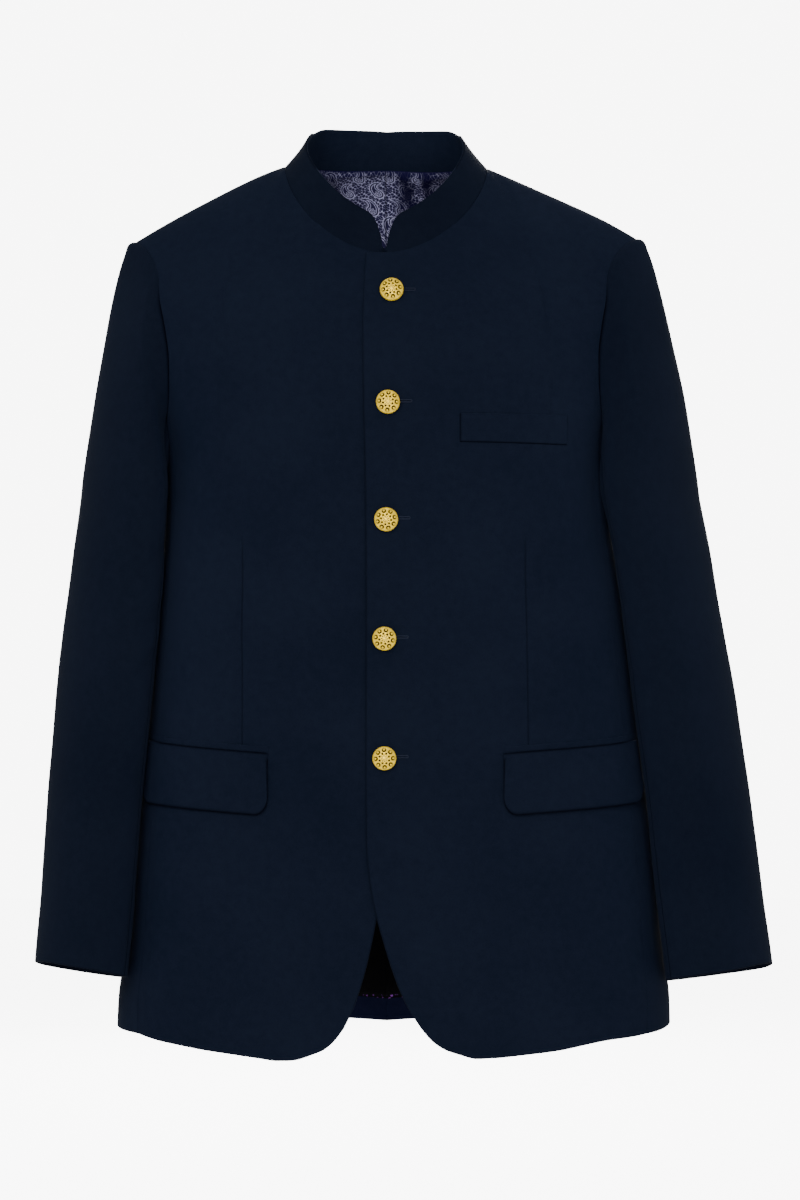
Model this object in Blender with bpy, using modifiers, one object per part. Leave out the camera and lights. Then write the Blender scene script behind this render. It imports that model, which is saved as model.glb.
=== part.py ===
"""Bandhgala jacket: a hip-length jacket with a stand collar and five buttons.

The jacket is filled out as if it were worn, and hollow. Every piece of cloth is
a closed wall, cut along the seams that a tailor sews. Metres, +Z up, the front
faces -Y, and the wearer's left is +X. The origin is the middle of the neck's
base, level with the points where the shoulder seams meet the collar.
"""
from bisect import bisect_right
from collections import namedtuple
from math import cos, exp, hypot, pi, radians, sin, sqrt

import bmesh
import bpy
import numpy as np
from mathutils import Vector
from mathutils.bvhtree import BVHTree

# Walls and gaps
WALL = 0.0020
LINING_WALL = 0.0010
WELT_WALL = 0.0014
SEAM_GAP = 0.0003
SLEEVE_GAP = 0.0005
LAID_GAP = 0.0009

# Torso: half widths to the wearer's left and right, and depths from the shoulder line
TorsoRow = namedtuple("TorsoRow", "level left right front back")
TORSO = [
    TorsoRow(-0.760, 0.2465, 0.2345, 0.118, 0.097),
    TorsoRow(-0.717, 0.2455, 0.2325, 0.122, 0.101),
    TorsoRow(-0.662, 0.2390, 0.2240, 0.125, 0.104),
    TorsoRow(-0.592, 0.2325, 0.2180, 0.127, 0.104),
    TorsoRow(-0.530, 0.2245, 0.2120, 0.128, 0.098),
    TorsoRow(-0.460, 0.2155, 0.2050, 0.129, 0.090),
    TorsoRow(-0.373, 0.2045, 0.1975, 0.132, 0.087),
    TorsoRow(-0.310, 0.1950, 0.1930, 0.137, 0.098),
    TorsoRow(-0.250, 0.1915, 0.1915, 0.139, 0.112),
    TorsoRow(-0.222, 0.1965, 0.1965, 0.139, 0.117),
    TorsoRow(-0.194, 0.2003, 0.2003, 0.135, 0.119),
    TorsoRow(-0.165, 0.2066, 0.2066, 0.128, 0.120),
    TorsoRow(-0.140, 0.2158, 0.2158, 0.121, 0.120),
    TorsoRow(-0.115, 0.2275, 0.2275, 0.112, 0.121),
    TorsoRow(-0.094, 0.2350, 0.2350, 0.102, 0.123),
    TorsoRow(-0.062, 0.2450, 0.2450, 0.091, 0.128),
    TorsoRow(-0.030, 0.2500, 0.2500, 0.086, 0.137),
    TorsoRow(+0.020, 0.2500, 0.2500, 0.084, 0.163),
]
TORSO_POWER = 2.45
TORSO_ROLL = 0.150
RIDGE_Y = 0.005

# Shoulder line: it slopes down from the neck, a little steeper towards the tip
RIDGE_TOP = 0.0353
RIDGE_SLOPE = 0.302
RIDGE_BEND = 0.646
RIDGE_SOFT = 0.030
SHOULDER_TIP = 0.217

# Neckline
NECK_HALF = 0.087
NECK_DROP = 0.080
NECK_POWER = 1.75
NECK_BACK = 0.073
NECK_FAN = 2.6
NECK_FAN_REACH = 0.14
NECK_FAN_POWER = 4
COLLAR_START = {+1: 0.0019, -1: 0.0057}
COLLAR_END = 0.0006
COLLAR_CORNER = 0.030

# Collar: its inward lean and height, from its end (0) by the shoulder seam (1) to centre back (2)
CollarRow = namedtuple("CollarRow", "level lean height")
COLLAR = [
    CollarRow(0.00, radians(30), 0.0345),
    CollarRow(0.35, radians(13), 0.0315),
    CollarRow(0.70, radians(18), 0.0320),
    CollarRow(1.00, radians(37), 0.0368),
    CollarRow(1.40, radians(27), 0.0388),
    CollarRow(2.00, radians(11), 0.0360),
]

# Armhole, seen from the side
ARMHOLE_MIDDLE = -0.1560
ARMHOLE_HALF = 0.0935
ARMHOLE_FRONT = 0.066
ARMHOLE_BACK = 0.072
ARMHOLE_EGG = 0.12
FRONT_SEAM_TURN = radians(130)
BACK_SEAM_TURN = radians(235)

# Front edges: how far past the middle each front reaches, then the cutaway
EdgeRow = namedtuple("EdgeRow", "level over under")
FRONT_EDGE = [
    EdgeRow(-0.7315, 0.0300, 0.0350),
    EdgeRow(-0.7150, 0.0195, 0.0272),
    EdgeRow(-0.6970, 0.0110, 0.0210),
    EdgeRow(-0.6760, 0.0035, 0.0152),
    EdgeRow(-0.6560, -0.0025, 0.0108),
    EdgeRow(-0.6380, -0.0075, 0.0072),
    EdgeRow(-0.6100, -0.0130, 0.0010),
    EdgeRow(-0.5750, -0.0160, -0.0080),
    EdgeRow(-0.5200, -0.0165, -0.0165),
    EdgeRow(-0.3000, -0.0165, -0.0165),
    EdgeRow(-0.0805, -0.0165, -0.0165),
]
HemRow = namedtuple("HemRow", "level over under")
FRONT_HEM = [
    HemRow(-0.7315, 0.0300, 0.0350),
    HemRow(-0.7435, 0.0410, 0.0445),
    HemRow(-0.7500, 0.0530, 0.0550),
    HemRow(-0.7548, 0.0700, 0.0710),
    HemRow(-0.7558, 0.0900, 0.0900),
    HemRow(-0.7540, 0.1070, 0.1070),
    HemRow(-0.7500, 0.1430, 0.1430),
    HemRow(-0.7448, 0.1860, 0.1860),
]
SIDE_HEM_FRONT = -0.7418
SIDE_HEM_BACK = -0.7410
BACK_HEM = -0.7480
LINING_RISE = 0.0200
FRONT_SEAM_HEM_Y = -0.060
BACK_SEAM_HEM_Y = 0.050
UNDER_STEP = WALL + 0.0014
UNDER_FROM = 0.060
UNDER_TO = 0.034

# Sleeves: how near the body and how far out each ring reaches, on either side
SleeveRow = namedtuple(
    "SleeveRow", "level left_inner left_outer right_inner right_outer middle_y half_depth lift")
SLEEVE = [
    SleeveRow(-0.285, 0.1865, 0.2730, 0.1850, 0.2665, -0.0225, 0.0770, 0.0000),
    SleeveRow(-0.373, 0.2000, 0.2875, 0.1918, 0.2750, -0.027, 0.0680, 0.0010),
    SleeveRow(-0.460, 0.2110, 0.3020, 0.1999, 0.2835, -0.032, 0.0655, 0.0025),
    SleeveRow(-0.530, 0.2205, 0.3120, 0.2065, 0.2885, -0.036, 0.0630, 0.0040),
    SleeveRow(-0.600, 0.2280, 0.3205, 0.2120, 0.2935, -0.041, 0.0600, 0.0060),
    SleeveRow(-0.692, 0.2385, 0.3310, 0.2198, 0.3010, -0.048, 0.0570, 0.0078),
]
SLEEVE_TURN = radians(24)
CUFF_SWING = 0.004

# Sleeve head: how the cloth leaves the armhole and runs down into the first ring
HEAD_REACH = {"top": 0.003, "middle": 0.013, "sides": 0.009}
HEAD_SPREAD = 0.25
HEAD_RISE = 0.06
HEAD_FALL = 0.90
CAP_RUN = {"top": 0.110, "under": 0.012}
CAP_SLANT = 0.10

# Pockets, on both sides or on the wearer's left
FLAP_FRONT_X = 0.098
FLAP_REAR_Y = -0.042
FLAP_TOP = {"front": -0.5010, "rear": -0.4930}
FLAP_HEIGHT = 0.0525
FLAP_LENGTH = 0.150
FLAP_CORNER = 0.012
JET_HEIGHT = 0.0050
WELT_FRONT_X = 0.0617
WELT_REAR_X = 0.1515
WELT_TOP = -0.2180
WELT_BOTTOM = {"front": -0.2415, "rear": -0.2428}

# Buttons on the overlapping front, from the collar down
ButtonRow = namedtuple("ButtonRow", "across level")
BUTTONS = [
    ButtonRow(0.0050, -0.1140),
    ButtonRow(0.0020, -0.2090),
    ButtonRow(0.0005, -0.3060),
    ButtonRow(-0.0010, -0.4050),
    ButtonRow(-0.0010, -0.5046),
]
BUTTON_RADIUS = 0.0103
BUTTON_HEIGHT = 0.0085
BUTTON_RIM = 0.0014
BUTTON_INSET = 0.0006
SHANK_RADIUS = 0.0028
SHANK_HEIGHT = 0.0022

# Cells along each stretch of seam
SEAM_CELLS = 14
ARMHOLE_CELLS = 10
SIDE_CELLS = 6
FRONT_NECK_CELLS = 9
FRONT_NECK_POWER = 1.12
BACK_NECK_CELLS = 6
SHOULDER_CELLS = 6
CAP_CELLS = 7
ARM_CELLS = 12
COLLAR_CELLS = 4
FLAP_CELLS = (12, 4)
WELT_CELLS = (8, 2)
BUTTON_SIDES = 20
DOME_CELLS = 5

COLLECTION = "bandhgala_jacket"


def smooth_curve(places, values):
    """Smooth curve through rising places, which never overshoots their values."""
    steps = [b - a for a, b in zip(places, places[1:])]
    slopes = [(b - a) / step for a, b, step in zip(values, values[1:], steps)]
    inner = [2 * a * b / (a + b) if a * b > 0 else 0.0 for a, b in zip(slopes, slopes[1:])]
    tangents = [slopes[0]] + inner + [slopes[-1]]

    def value(place):
        index = min(max(bisect_right(places, place) - 1, 0), len(steps) - 1)
        t = min(max((place - places[index]) / steps[index], 0.0), 1.0)
        rise = t * t * (3 - 2 * t)
        lead = t * (1 - t) ** 2 * tangents[index] * steps[index]
        trail = t * t * (t - 1) * tangents[index + 1] * steps[index]
        return values[index] + rise * (values[index + 1] - values[index]) + lead + trail

    return value


def column(table, name):
    """One column of a table as a smooth curve over its level."""
    rows = sorted(table, key=lambda row: row.level)
    return smooth_curve([row.level for row in rows], [getattr(row, name) for row in rows])


def solve(function, low, high):
    """Place between low and high where a rising function crosses zero."""
    for _ in range(40):
        middle = (low + high) / 2
        if function(middle) < 0:
            low = middle
        else:
            high = middle
    return (low + high) / 2


def smooth_step(value):
    """Eases from 0 to 1, and stays there."""
    value = min(max(value, 0.0), 1.0)
    return value * value * (3 - 2 * value)


def spread(count, power=1.0):
    """Fractions from 0 to 1, closer together at the start for a power over 1."""
    return [(index / count) ** power for index in range(count + 1)]


def along(points, fractions):
    """Points at fractions of the length of a smooth line through the given points."""
    points = [np.array(point, dtype=float) for point in points]
    lengths = [0.0]
    for start, end in zip(points, points[1:]):
        lengths.append(lengths[-1] + float(np.linalg.norm(end - start)))
    curves = [smooth_curve(lengths, [float(point[axis]) for point in points])
              for axis in range(len(points[0]))]
    return [[curve(fraction * lengths[-1]) for curve in curves] for fraction in fractions]


def ridge_level(across):
    """Height of the shoulder line at a distance from the middle."""
    out = hypot(across, RIDGE_SOFT)
    return RIDGE_TOP - RIDGE_SLOPE * out - RIDGE_BEND * out * out


class TorsoSide:
    """Half of the torso's surface. A place on it is an angle round the body, from
    -90 degrees at centre front to +90 at centre back, and a drop down the cloth
    from the shoulder line."""

    def __init__(self, side):
        self.side = side
        self.half_width = column(TORSO, "left" if side > 0 else "right")
        self.front = column(TORSO, "front")
        self.back = column(TORSO, "back")

    def ring(self, angle, level):
        across, depth = cos(angle), sin(angle)
        reach = self.front(level) if depth < 0 else self.back(level)
        total = (abs(across) / self.half_width(level)) ** TORSO_POWER
        total += (abs(depth) / reach) ** TORSO_POWER
        radius = total ** (-1 / TORSO_POWER)
        return radius * across, radius * depth

    def roll(self, across, level):
        """1 on the upright body, falling to 0 as the cloth rolls onto the shoulder."""
        share = min(max((ridge_level(across) - level) / TORSO_ROLL, 0.0), 1.0)
        return sqrt(1 - (1 - share) ** 2)

    def drop(self, across, level):
        fall = (ridge_level(across) - level) / TORSO_ROLL
        if fall < 1:
            return TORSO_ROLL * np.arccos(1 - max(fall, 0.0))
        return TORSO_ROLL * (pi / 2 + fall - 1)

    def point(self, angle, drop):
        turn = drop / TORSO_ROLL
        fall = 1 - cos(turn) if turn < pi / 2 else 1 + turn - pi / 2
        level = -TORSO_ROLL * fall
        for _ in range(8):
            across, depth = self.ring(angle, level)
            level = ridge_level(across) - TORSO_ROLL * fall
        rolled = sin(turn) if turn < pi / 2 else 1.0
        return np.array([self.side * across, RIDGE_Y + depth * rolled, level])

    def normal(self, angle, drop):
        """Outward direction of the cloth."""
        step = 0.002
        turned = self.point(angle + step, drop) - self.point(angle - step, drop)
        lowered = self.point(angle, drop + step) - self.point(angle, max(drop - step, 0.0))
        outward = np.cross(turned, lowered) * -self.side
        return outward / np.linalg.norm(outward)

    def at_x(self, across, level):
        """Place on the front at a distance from the middle."""
        angle = solve(lambda a: self.ring(a, level)[0] - across, -0.75 * pi, 0.0)
        return [angle, self.drop(across, level)]

    def at_y(self, y, level):
        """Place on the front or back at a depth."""
        def miss(angle):
            across, depth = self.ring(angle, level)
            return RIDGE_Y + depth * self.roll(across, level) - y
        angle = solve(miss, -pi / 2, pi / 2)
        return [angle, self.drop(self.ring(angle, level)[0], level)]

    def at_plan(self, across, y):
        """Place on the shoulder or upper back, found from above."""
        level = 0.0
        for _ in range(12):
            angle = solve(lambda a: across - self.ring(a, level)[0], 0.0, pi / 2)
            share = (y - RIDGE_Y) / self.ring(angle, level)[1]
            level = ridge_level(across) - TORSO_ROLL * (1 - sqrt(1 - share * share))
        return [angle, self.drop(across, level)]

    def shoulder(self, across):
        level = ridge_level(across)
        return [self.at_x(across, level)[0], 0.0]

    def shoulder_back(self, across):
        level = ridge_level(across)
        return [solve(lambda a: across - self.ring(a, level)[0], 0.0, pi / 2), 0.0]

    def armhole(self, turn, behind=False):
        """Place on the armhole, from the tip of the shoulder forward and round."""
        if abs(sin(turn)) < 1e-6 and cos(turn) > 0:
            return self.shoulder_back(SHOULDER_TIP) if behind else self.shoulder(SHOULDER_TIP)
        reach = ARMHOLE_FRONT if sin(turn) > 0 else ARMHOLE_BACK
        y = RIDGE_Y - reach * sin(turn) * (1 - ARMHOLE_EGG * cos(turn))
        return self.at_y(y, ARMHOLE_MIDDLE + ARMHOLE_HALF * cos(turn))

    def cloth(self, places, out=0.0):
        """Points and outward normals at a grid of places, moved out along the normals."""
        normals = np.array([[self.normal(*place) for place in row] for row in places])
        points = np.array([[self.point(*place) for place in row] for row in places])
        return points + normals * out, normals


def coons(bottom, top, start, end):
    """Grid of places that fills the space between four edges."""
    bottom, top, start, end = (np.array(edge) for edge in (bottom, top, start, end))
    rows, columns = len(start), len(bottom)
    grid = np.zeros((rows, columns, 2))
    for row in range(rows):
        for place in range(columns):
            v, u = row / (rows - 1), place / (columns - 1)
            ruled = (1 - v) * bottom[place] + v * top[place] + (1 - u) * start[row] + u * end[row]
            corners = (1 - v) * ((1 - u) * bottom[0] + u * bottom[-1])
            corners = corners + v * ((1 - u) * top[0] + u * top[-1])
            grid[row, place] = ruled - corners
    return grid


def front_places(half):
    """Places on one front, from its edge to the side seam and up to the shoulder."""
    name = "over" if half.side > 0 else "under"
    seam_top = half.armhole(FRONT_SEAM_TURN)
    seam_foot = half.at_y(FRONT_SEAM_HEM_Y, SIDE_HEM_FRONT)

    hem = [half.at_x(getattr(row, name), row.level) for row in FRONT_HEM] + [seam_foot]
    columns = FRONT_NECK_CELLS + SHOULDER_CELLS
    bottom = along(hem, spread(columns))

    edge = [half.at_x(getattr(row, name), row.level) for row in FRONT_EDGE]
    rows = SEAM_CELLS + ARMHOLE_CELLS
    start = along(edge, spread(rows))

    seam = along([seam_foot, seam_top], spread(SEAM_CELLS))
    turns = [FRONT_SEAM_TURN * (1 - share) for share in spread(ARMHOLE_CELLS)]
    end = seam + [half.armhole(turn) for turn in turns[1:]]

    ridge = [half.shoulder(NECK_HALF + (SHOULDER_TIP - NECK_HALF) * share)
             for share in spread(SHOULDER_CELLS)]
    top = [start[-1]] + front_neck(half) + ridge[1:]
    return fan_out(coons(bottom, top, start, end))


def fan_out(places):
    """Leans the columns away from the neckline, so that none of them runs along it."""
    rows, columns = places.shape[:2]
    for row in range(rows):
        below = 1 - row / (rows - 1)
        lean = NECK_FAN * below * (1 - below) * exp(-below / NECK_FAN_REACH)
        for place in range(columns):
            inside = place / FRONT_NECK_CELLS
            outside = (columns - 1 - place) / (columns - 1 - FRONT_NECK_CELLS)
            places[row, place, 0] += lean * min(inside ** NECK_FAN_POWER, outside)
    return places


def front_neck(half):
    """Places on the front neckline, from the collar's end to the shoulder seam."""
    first = COLLAR_START[half.side] / NECK_HALF
    depth = NECK_DROP + ridge_level(NECK_HALF)
    places = []
    for share in spread(FRONT_NECK_CELLS - 1, FRONT_NECK_POWER):
        turn = pi / 2 * share
        across = NECK_HALF * max(sin(turn) ** (2 / NECK_POWER), first)
        level = ridge_level(NECK_HALF) - depth * cos(turn) ** (2 / NECK_POWER)
        places.append(half.at_x(across, level))
    places[-1] = half.shoulder(NECK_HALF)
    return places


def back_neck(half):
    """Places on the back neckline, from centre back to the shoulder seam."""
    places = []
    for share in spread(BACK_NECK_CELLS):
        turn = pi / 2 * share
        places.append(half.at_plan(NECK_HALF * sin(turn), RIDGE_Y + NECK_BACK * cos(turn)))
    places[-1] = half.shoulder_back(NECK_HALF)
    return places


def above_hem(foot, top, count):
    """Fractions of a seam, the first at the hem and the second at the lining's edge."""
    rise = LINING_RISE / abs(foot[1] - top[1])
    return [0.0] + [rise + (1 - rise) * share for share in spread(count - 1)]


def hem_places(half, angles, levels, count):
    """Places on a hem between two angles, whose level changes evenly between its ends."""
    places = []
    for share in spread(count):
        angle = angles[0] + (angles[1] - angles[0]) * share
        level = levels[0] + (levels[1] - levels[0]) * share
        places.append([angle, half.drop(half.ring(angle, level)[0], level)])
    return places


def back_places(half):
    """Places on one half of the back, from centre back to the side seam."""
    seam_top = half.armhole(BACK_SEAM_TURN)
    seam_foot = half.at_y(BACK_SEAM_HEM_Y, SIDE_HEM_BACK)
    columns = BACK_NECK_CELLS + SHOULDER_CELLS
    bottom = hem_places(half, (pi / 2, seam_foot[0]), (BACK_HEM, SIDE_HEM_BACK), columns)
    centre = bottom[0]

    neck = back_neck(half)
    rows = SEAM_CELLS + ARMHOLE_CELLS
    start = along([centre, neck[0]], above_hem(centre, neck[0], rows))
    seam = along([seam_foot, seam_top], above_hem(seam_foot, seam_top, SEAM_CELLS))
    sweep = 2 * pi - BACK_SEAM_TURN
    turns = [BACK_SEAM_TURN + sweep * share for share in spread(ARMHOLE_CELLS)]
    end = seam + [half.armhole(turn, behind=True) for turn in turns[1:]]
    ridge = [half.shoulder_back(NECK_HALF + (SHOULDER_TIP - NECK_HALF) * share)
             for share in spread(SHOULDER_CELLS)]
    return coons(bottom, neck + ridge[1:], start, end)


def side_places(half):
    """Places on the panel under the arm, from the front's seam to the back's."""
    front_foot = half.at_y(FRONT_SEAM_HEM_Y, SIDE_HEM_FRONT)
    back_foot = half.at_y(BACK_SEAM_HEM_Y, SIDE_HEM_BACK)
    shares = spread(SIDE_CELLS)
    turns = [FRONT_SEAM_TURN + (BACK_SEAM_TURN - FRONT_SEAM_TURN) * share for share in shares]
    top = [half.armhole(turn) for turn in turns]
    angles, levels = (front_foot[0], back_foot[0]), (SIDE_HEM_FRONT, SIDE_HEM_BACK)
    bottom = hem_places(half, angles, levels, SIDE_CELLS)
    start = along([front_foot, top[0]], spread(SEAM_CELLS))
    end = along([back_foot, top[-1]], spread(SEAM_CELLS))
    return coons(bottom, top, start, end)


def under_step(points):
    """Moves the front that lies beneath in, where the other front covers it."""
    for point in points.reshape(-1, 3):
        covered = smooth_step((UNDER_FROM + point[0]) / (UNDER_FROM - UNDER_TO))
        point[1] += UNDER_STEP * covered
    return points


def grid_normals(grid, outward_side):
    """Outward directions of a tube's grid whose columns close on themselves."""
    around = np.roll(grid, -1, axis=1) - np.roll(grid, 1, axis=1)
    down = np.gradient(grid, axis=0)
    normals = np.cross(around, down) * outward_side
    return normals / np.linalg.norm(normals, axis=2, keepdims=True)


def sleeve_turns():
    """Turns round the armhole, in step with the panels that meet it."""
    front = [FRONT_SEAM_TURN * share for share in spread(ARMHOLE_CELLS)]
    side = [FRONT_SEAM_TURN + (BACK_SEAM_TURN - FRONT_SEAM_TURN) * share
            for share in spread(SIDE_CELLS)]
    back = [BACK_SEAM_TURN + (2 * pi - BACK_SEAM_TURN) * share for share in spread(ARMHOLE_CELLS)]
    return front[:-1] + side[:-1] + back[:-1]


def sleeve_ring(side, level):
    """Function of the turn that gives a point on the sleeve's ring at a level. The
    ring is an ellipse whose front is turned in towards the body."""
    name = "left" if side > 0 else "right"
    inner, outer = column(SLEEVE, name + "_inner")(level), column(SLEEVE, name + "_outer")(level)
    middle_y = column(SLEEVE, "middle_y")(level)
    depth = column(SLEEVE, "half_depth")(level)
    lift = column(SLEEVE, "lift")(level)
    swing = CUFF_SWING * lift / SLEEVE[-1].lift
    reach = (outer - inner) / 2
    width = sqrt(reach ** 2 - (depth * sin(SLEEVE_TURN)) ** 2) / cos(SLEEVE_TURN)

    def point(turn):
        out, forward = width * cos(turn), depth * sin(turn)
        across = (inner + outer) / 2 + out * cos(SLEEVE_TURN) - forward * sin(SLEEVE_TURN)
        y = middle_y - out * sin(SLEEVE_TURN) - forward * cos(SLEEVE_TURN)
        return np.array([side * across, y, level + lift * cos(turn) + swing * sin(turn)])

    return point


def sleeve_grid(half):
    """Grid of a sleeve's outer points, from the armhole to the cuff."""
    turns = sleeve_turns()
    first = sleeve_ring(half.side, SLEEVE[0].level)
    rows = []
    for step in range(CAP_CELLS + 1):
        t = step / CAP_CELLS
        row = []
        for turn in turns:
            start = half.point(*half.armhole(turn))
            end = first(turn)
            low = (1 - cos(turn)) / 2
            rise = HEAD_RISE * (1 - low) - HEAD_FALL * low * low
            leave = np.array([half.side, -HEAD_SPREAD * sin(turn), rise])
            reach = HEAD_REACH["middle"] + HEAD_REACH["top"] * cos(turn)
            reach += HEAD_REACH["sides"] * sin(turn) ** 2
            leave *= reach / np.linalg.norm(leave)
            run = CAP_RUN["top"] + (CAP_RUN["under"] - CAP_RUN["top"]) * low
            arrive = np.array([-CAP_SLANT * half.side, 0.0, 1.0]) * run
            row.append((1 - t) ** 3 * start + 3 * (1 - t) ** 2 * t * (start + leave)
                       + 3 * (1 - t) * t * t * (end + arrive) + t ** 3 * end)
        rows.append(row)
    for step in range(1, ARM_CELLS + 1):
        level = SLEEVE[0].level + (SLEEVE[-1].level - SLEEVE[0].level) * step / ARM_CELLS
        ring = sleeve_ring(half.side, level)
        rows.append([ring(turn) for turn in turns])
    return np.array(rows)


def collar_grid(halves):
    """Outer and inner points of the collar, from its left end round the neck to its right."""
    base = []
    for half in halves:
        front = [half.point(*place) for place in front_neck(half)]
        if half.side < 0:
            front = list(under_step(np.array(front)))
        back = [half.point(*place) for place in back_neck(half)]
        line = front + back[-2::-1]
        base.append(line if half.side > 0 else line[-2::-1])
    base = np.array(base[0] + base[1])
    tangent = np.gradient(base, axis=0)
    tangent /= np.linalg.norm(tangent, axis=1, keepdims=True)
    lengths = np.concatenate([[0.0], np.cumsum(np.linalg.norm(np.diff(base, axis=0), axis=1))])
    last = len(base) - 1
    seams = (FRONT_NECK_CELLS - 1, FRONT_NECK_CELLS - 1 + 2 * BACK_NECK_CELLS)
    places = [0.0, lengths[seams[0]], lengths[last // 2], lengths[seams[1]], lengths[last]]
    shares = np.interp(lengths, places, [0.0, 1.0, 2.0, 1.0, 0.0])
    lean_at, height_at = column(COLLAR, "lean"), column(COLLAR, "height")
    outer, inward = [], []
    for index, point in enumerate(base):
        inner = Vector((-point[0], -point[1], 0.0)).normalized()
        line = Vector(tangent[index])
        inner = (inner - line * inner.dot(line)).normalized()
        upright = inner.cross(line) if inner.cross(line).z > 0 else line.cross(inner)
        lean = lean_at(shares[index])
        rise = upright * cos(lean) + inner * sin(lean)
        inside = inner * cos(lean) - upright * sin(lean)
        reach = min(lengths[index], lengths[-1] - lengths[index]) + COLLAR_END
        rounding = sqrt(1 - (1 - min(reach / COLLAR_CORNER, 1.0)) ** 2)
        height = height_at(shares[index]) * rounding
        outer.append([point + np.array(rise) * height * share for share in spread(COLLAR_CELLS)])
        inward.append([np.array(inside) * WALL] * (COLLAR_CELLS + 1))
    return np.array(outer).transpose(1, 0, 2), np.array(inward).transpose(1, 0, 2)


def pull_back(grid, inward, gap):
    """Moves a panel's edges away from its seams, square to the cloth and the seam."""
    moved = grid.copy()
    for edge, inside in (((0, slice(None)), (1, slice(None))), ((-1, slice(None)), (-2, slice(None))),
                         ((slice(None), 0), (slice(None), 1)), ((slice(None), -1), (slice(None), -2))):
        away = grid[inside] - grid[edge]
        depth = inward[edge] / np.linalg.norm(inward[edge], axis=-1, keepdims=True)
        away = away - depth * np.sum(away * depth, axis=-1, keepdims=True)
        moved[edge] = moved[edge] + gap * away / np.linalg.norm(away, axis=-1, keepdims=True)
    return moved


def add_material(name, colour, roughness, metallic=0.0):
    material = bpy.data.materials.new(name)
    material.use_nodes = True
    shader = material.node_tree.nodes["Principled BSDF"]
    shader.inputs["Base Color"].default_value = (*colour, 1.0)
    shader.inputs["Roughness"].default_value = roughness
    shader.inputs["Metallic"].default_value = metallic
    return material


def cloth_material(name):
    return add_material(name, (0.0045, 0.0085, 0.0180), 0.85)


def add_object(name, mesh, material, collection):
    mesh.materials.append(material)
    mesh.shade_smooth()
    mesh.set_sharp_from_angle(angle=radians(40))
    piece = bpy.data.objects.new(name, mesh)
    collection.objects.link(piece)
    return piece


def add_panel(name, grid, inward, material, collection, gap=SEAM_GAP / 2):
    """Closed wall of cloth: a sheet on the grid's points, extruded inward."""
    grid = pull_back(grid, inward, gap) if gap else grid
    rows, columns = grid.shape[:2]
    sheet = bmesh.new()
    bmesh.ops.create_grid(sheet, x_segments=columns - 1, y_segments=rows - 1, size=1.0)
    number = sheet.verts.layers.int.new("number")
    for vert in sheet.verts:
        place = round((vert.co.x + 1) / 2 * (columns - 1))
        row = round((vert.co.y + 1) / 2 * (rows - 1))
        vert[number] = row * columns + place
        vert.co = grid[row, place]
    result = bmesh.ops.extrude_face_region(sheet, geom=sheet.faces[:], use_keep_orig=True)
    steps = inward.reshape(-1, 3)
    for vert in result["geom"]:
        if isinstance(vert, bmesh.types.BMVert):
            vert.co += Vector(steps[vert[number]])
    bmesh.ops.recalc_face_normals(sheet, faces=sheet.faces)
    bmesh.ops.triangulate(sheet, faces=sheet.faces, quad_method="SHORT_EDGE")
    mesh = bpy.data.meshes.new(name)
    sheet.to_mesh(mesh)
    sheet.free()
    return add_object(name, mesh, material, collection)


def side_name(half):
    return "left" if half.side > 0 else "right"


def add_torso(halves, collection):
    """Fronts, sides, backs and the lining that lies inside the back."""
    lining = []
    for half in halves:
        name = side_name(half)
        points, normals = half.cloth(front_places(half))
        if half.side < 0:
            points = under_step(points)
        material = cloth_material("front_cloth_" + name)
        add_panel("front_" + name, points, normals * -WALL, material, collection)
        points, normals = half.cloth(side_places(half))
        material = cloth_material("side_cloth_" + name)
        add_panel("side_" + name, points, normals * -WALL, material, collection)
        points, normals = half.cloth(back_places(half))
        material = cloth_material("back_cloth_" + name)
        add_panel("back_" + name, points, normals * -WALL, material, collection)
        points, normals = points[1:] - normals[1:] * (WALL + SEAM_GAP), normals[1:]
        lining.append((points, normals) if half.side > 0 else (points[:, :0:-1], normals[:, :0:-1]))
    points = np.concatenate([lining[1][0], lining[0][0]], axis=1)
    normals = np.concatenate([lining[1][1], lining[0][1]], axis=1)
    material = add_material("lining_silk", (0.055, 0.048, 0.150), 0.45)
    add_panel("back_lining", points, normals * -LINING_WALL, material, collection, LINING_WALL)


def add_sleeve(half, collection):
    name = side_name(half)
    grid = sleeve_grid(half)
    inward = grid_normals(grid, half.side) * -WALL
    front, back = ARMHOLE_CELLS, ARMHOLE_CELLS + SIDE_CELLS
    columns = grid.shape[1]
    top = [(back + step) % columns for step in range(columns - SIDE_CELLS + 1)]
    under = list(range(front, back + 1))
    for part, places in (("top", top), ("under", under)):
        material = cloth_material(f"sleeve_cloth_{name}_{part}")
        points, steps = grid[:, places], inward[:, places]
        add_panel(f"sleeve_{name}_{part}", points, steps, material, collection, SLEEVE_GAP)


def add_collar(halves, collection):
    outer, inward = collar_grid(halves)
    add_panel("collar", outer, inward, cloth_material("collar_cloth"), collection)


def pocket_places(half, rows_of_drops, cells):
    """Places on a strip that runs along the hip pocket, one row for each drop function."""
    places = []
    for drop_at in rows_of_drops:
        row = []
        for share in spread(cells):
            level = FLAP_TOP["front"] + (FLAP_TOP["rear"] - FLAP_TOP["front"]) * share
            first = half.at_x(FLAP_FRONT_X, level)[0]
            last = half.at_y(FLAP_REAR_Y, level)[0]
            angle = first + (last - first) * share
            level -= drop_at(share)
            across = half.ring(angle, level)[0]
            row.append([angle, half.drop(across, level)])
        places.append(row)
    return places


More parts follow.
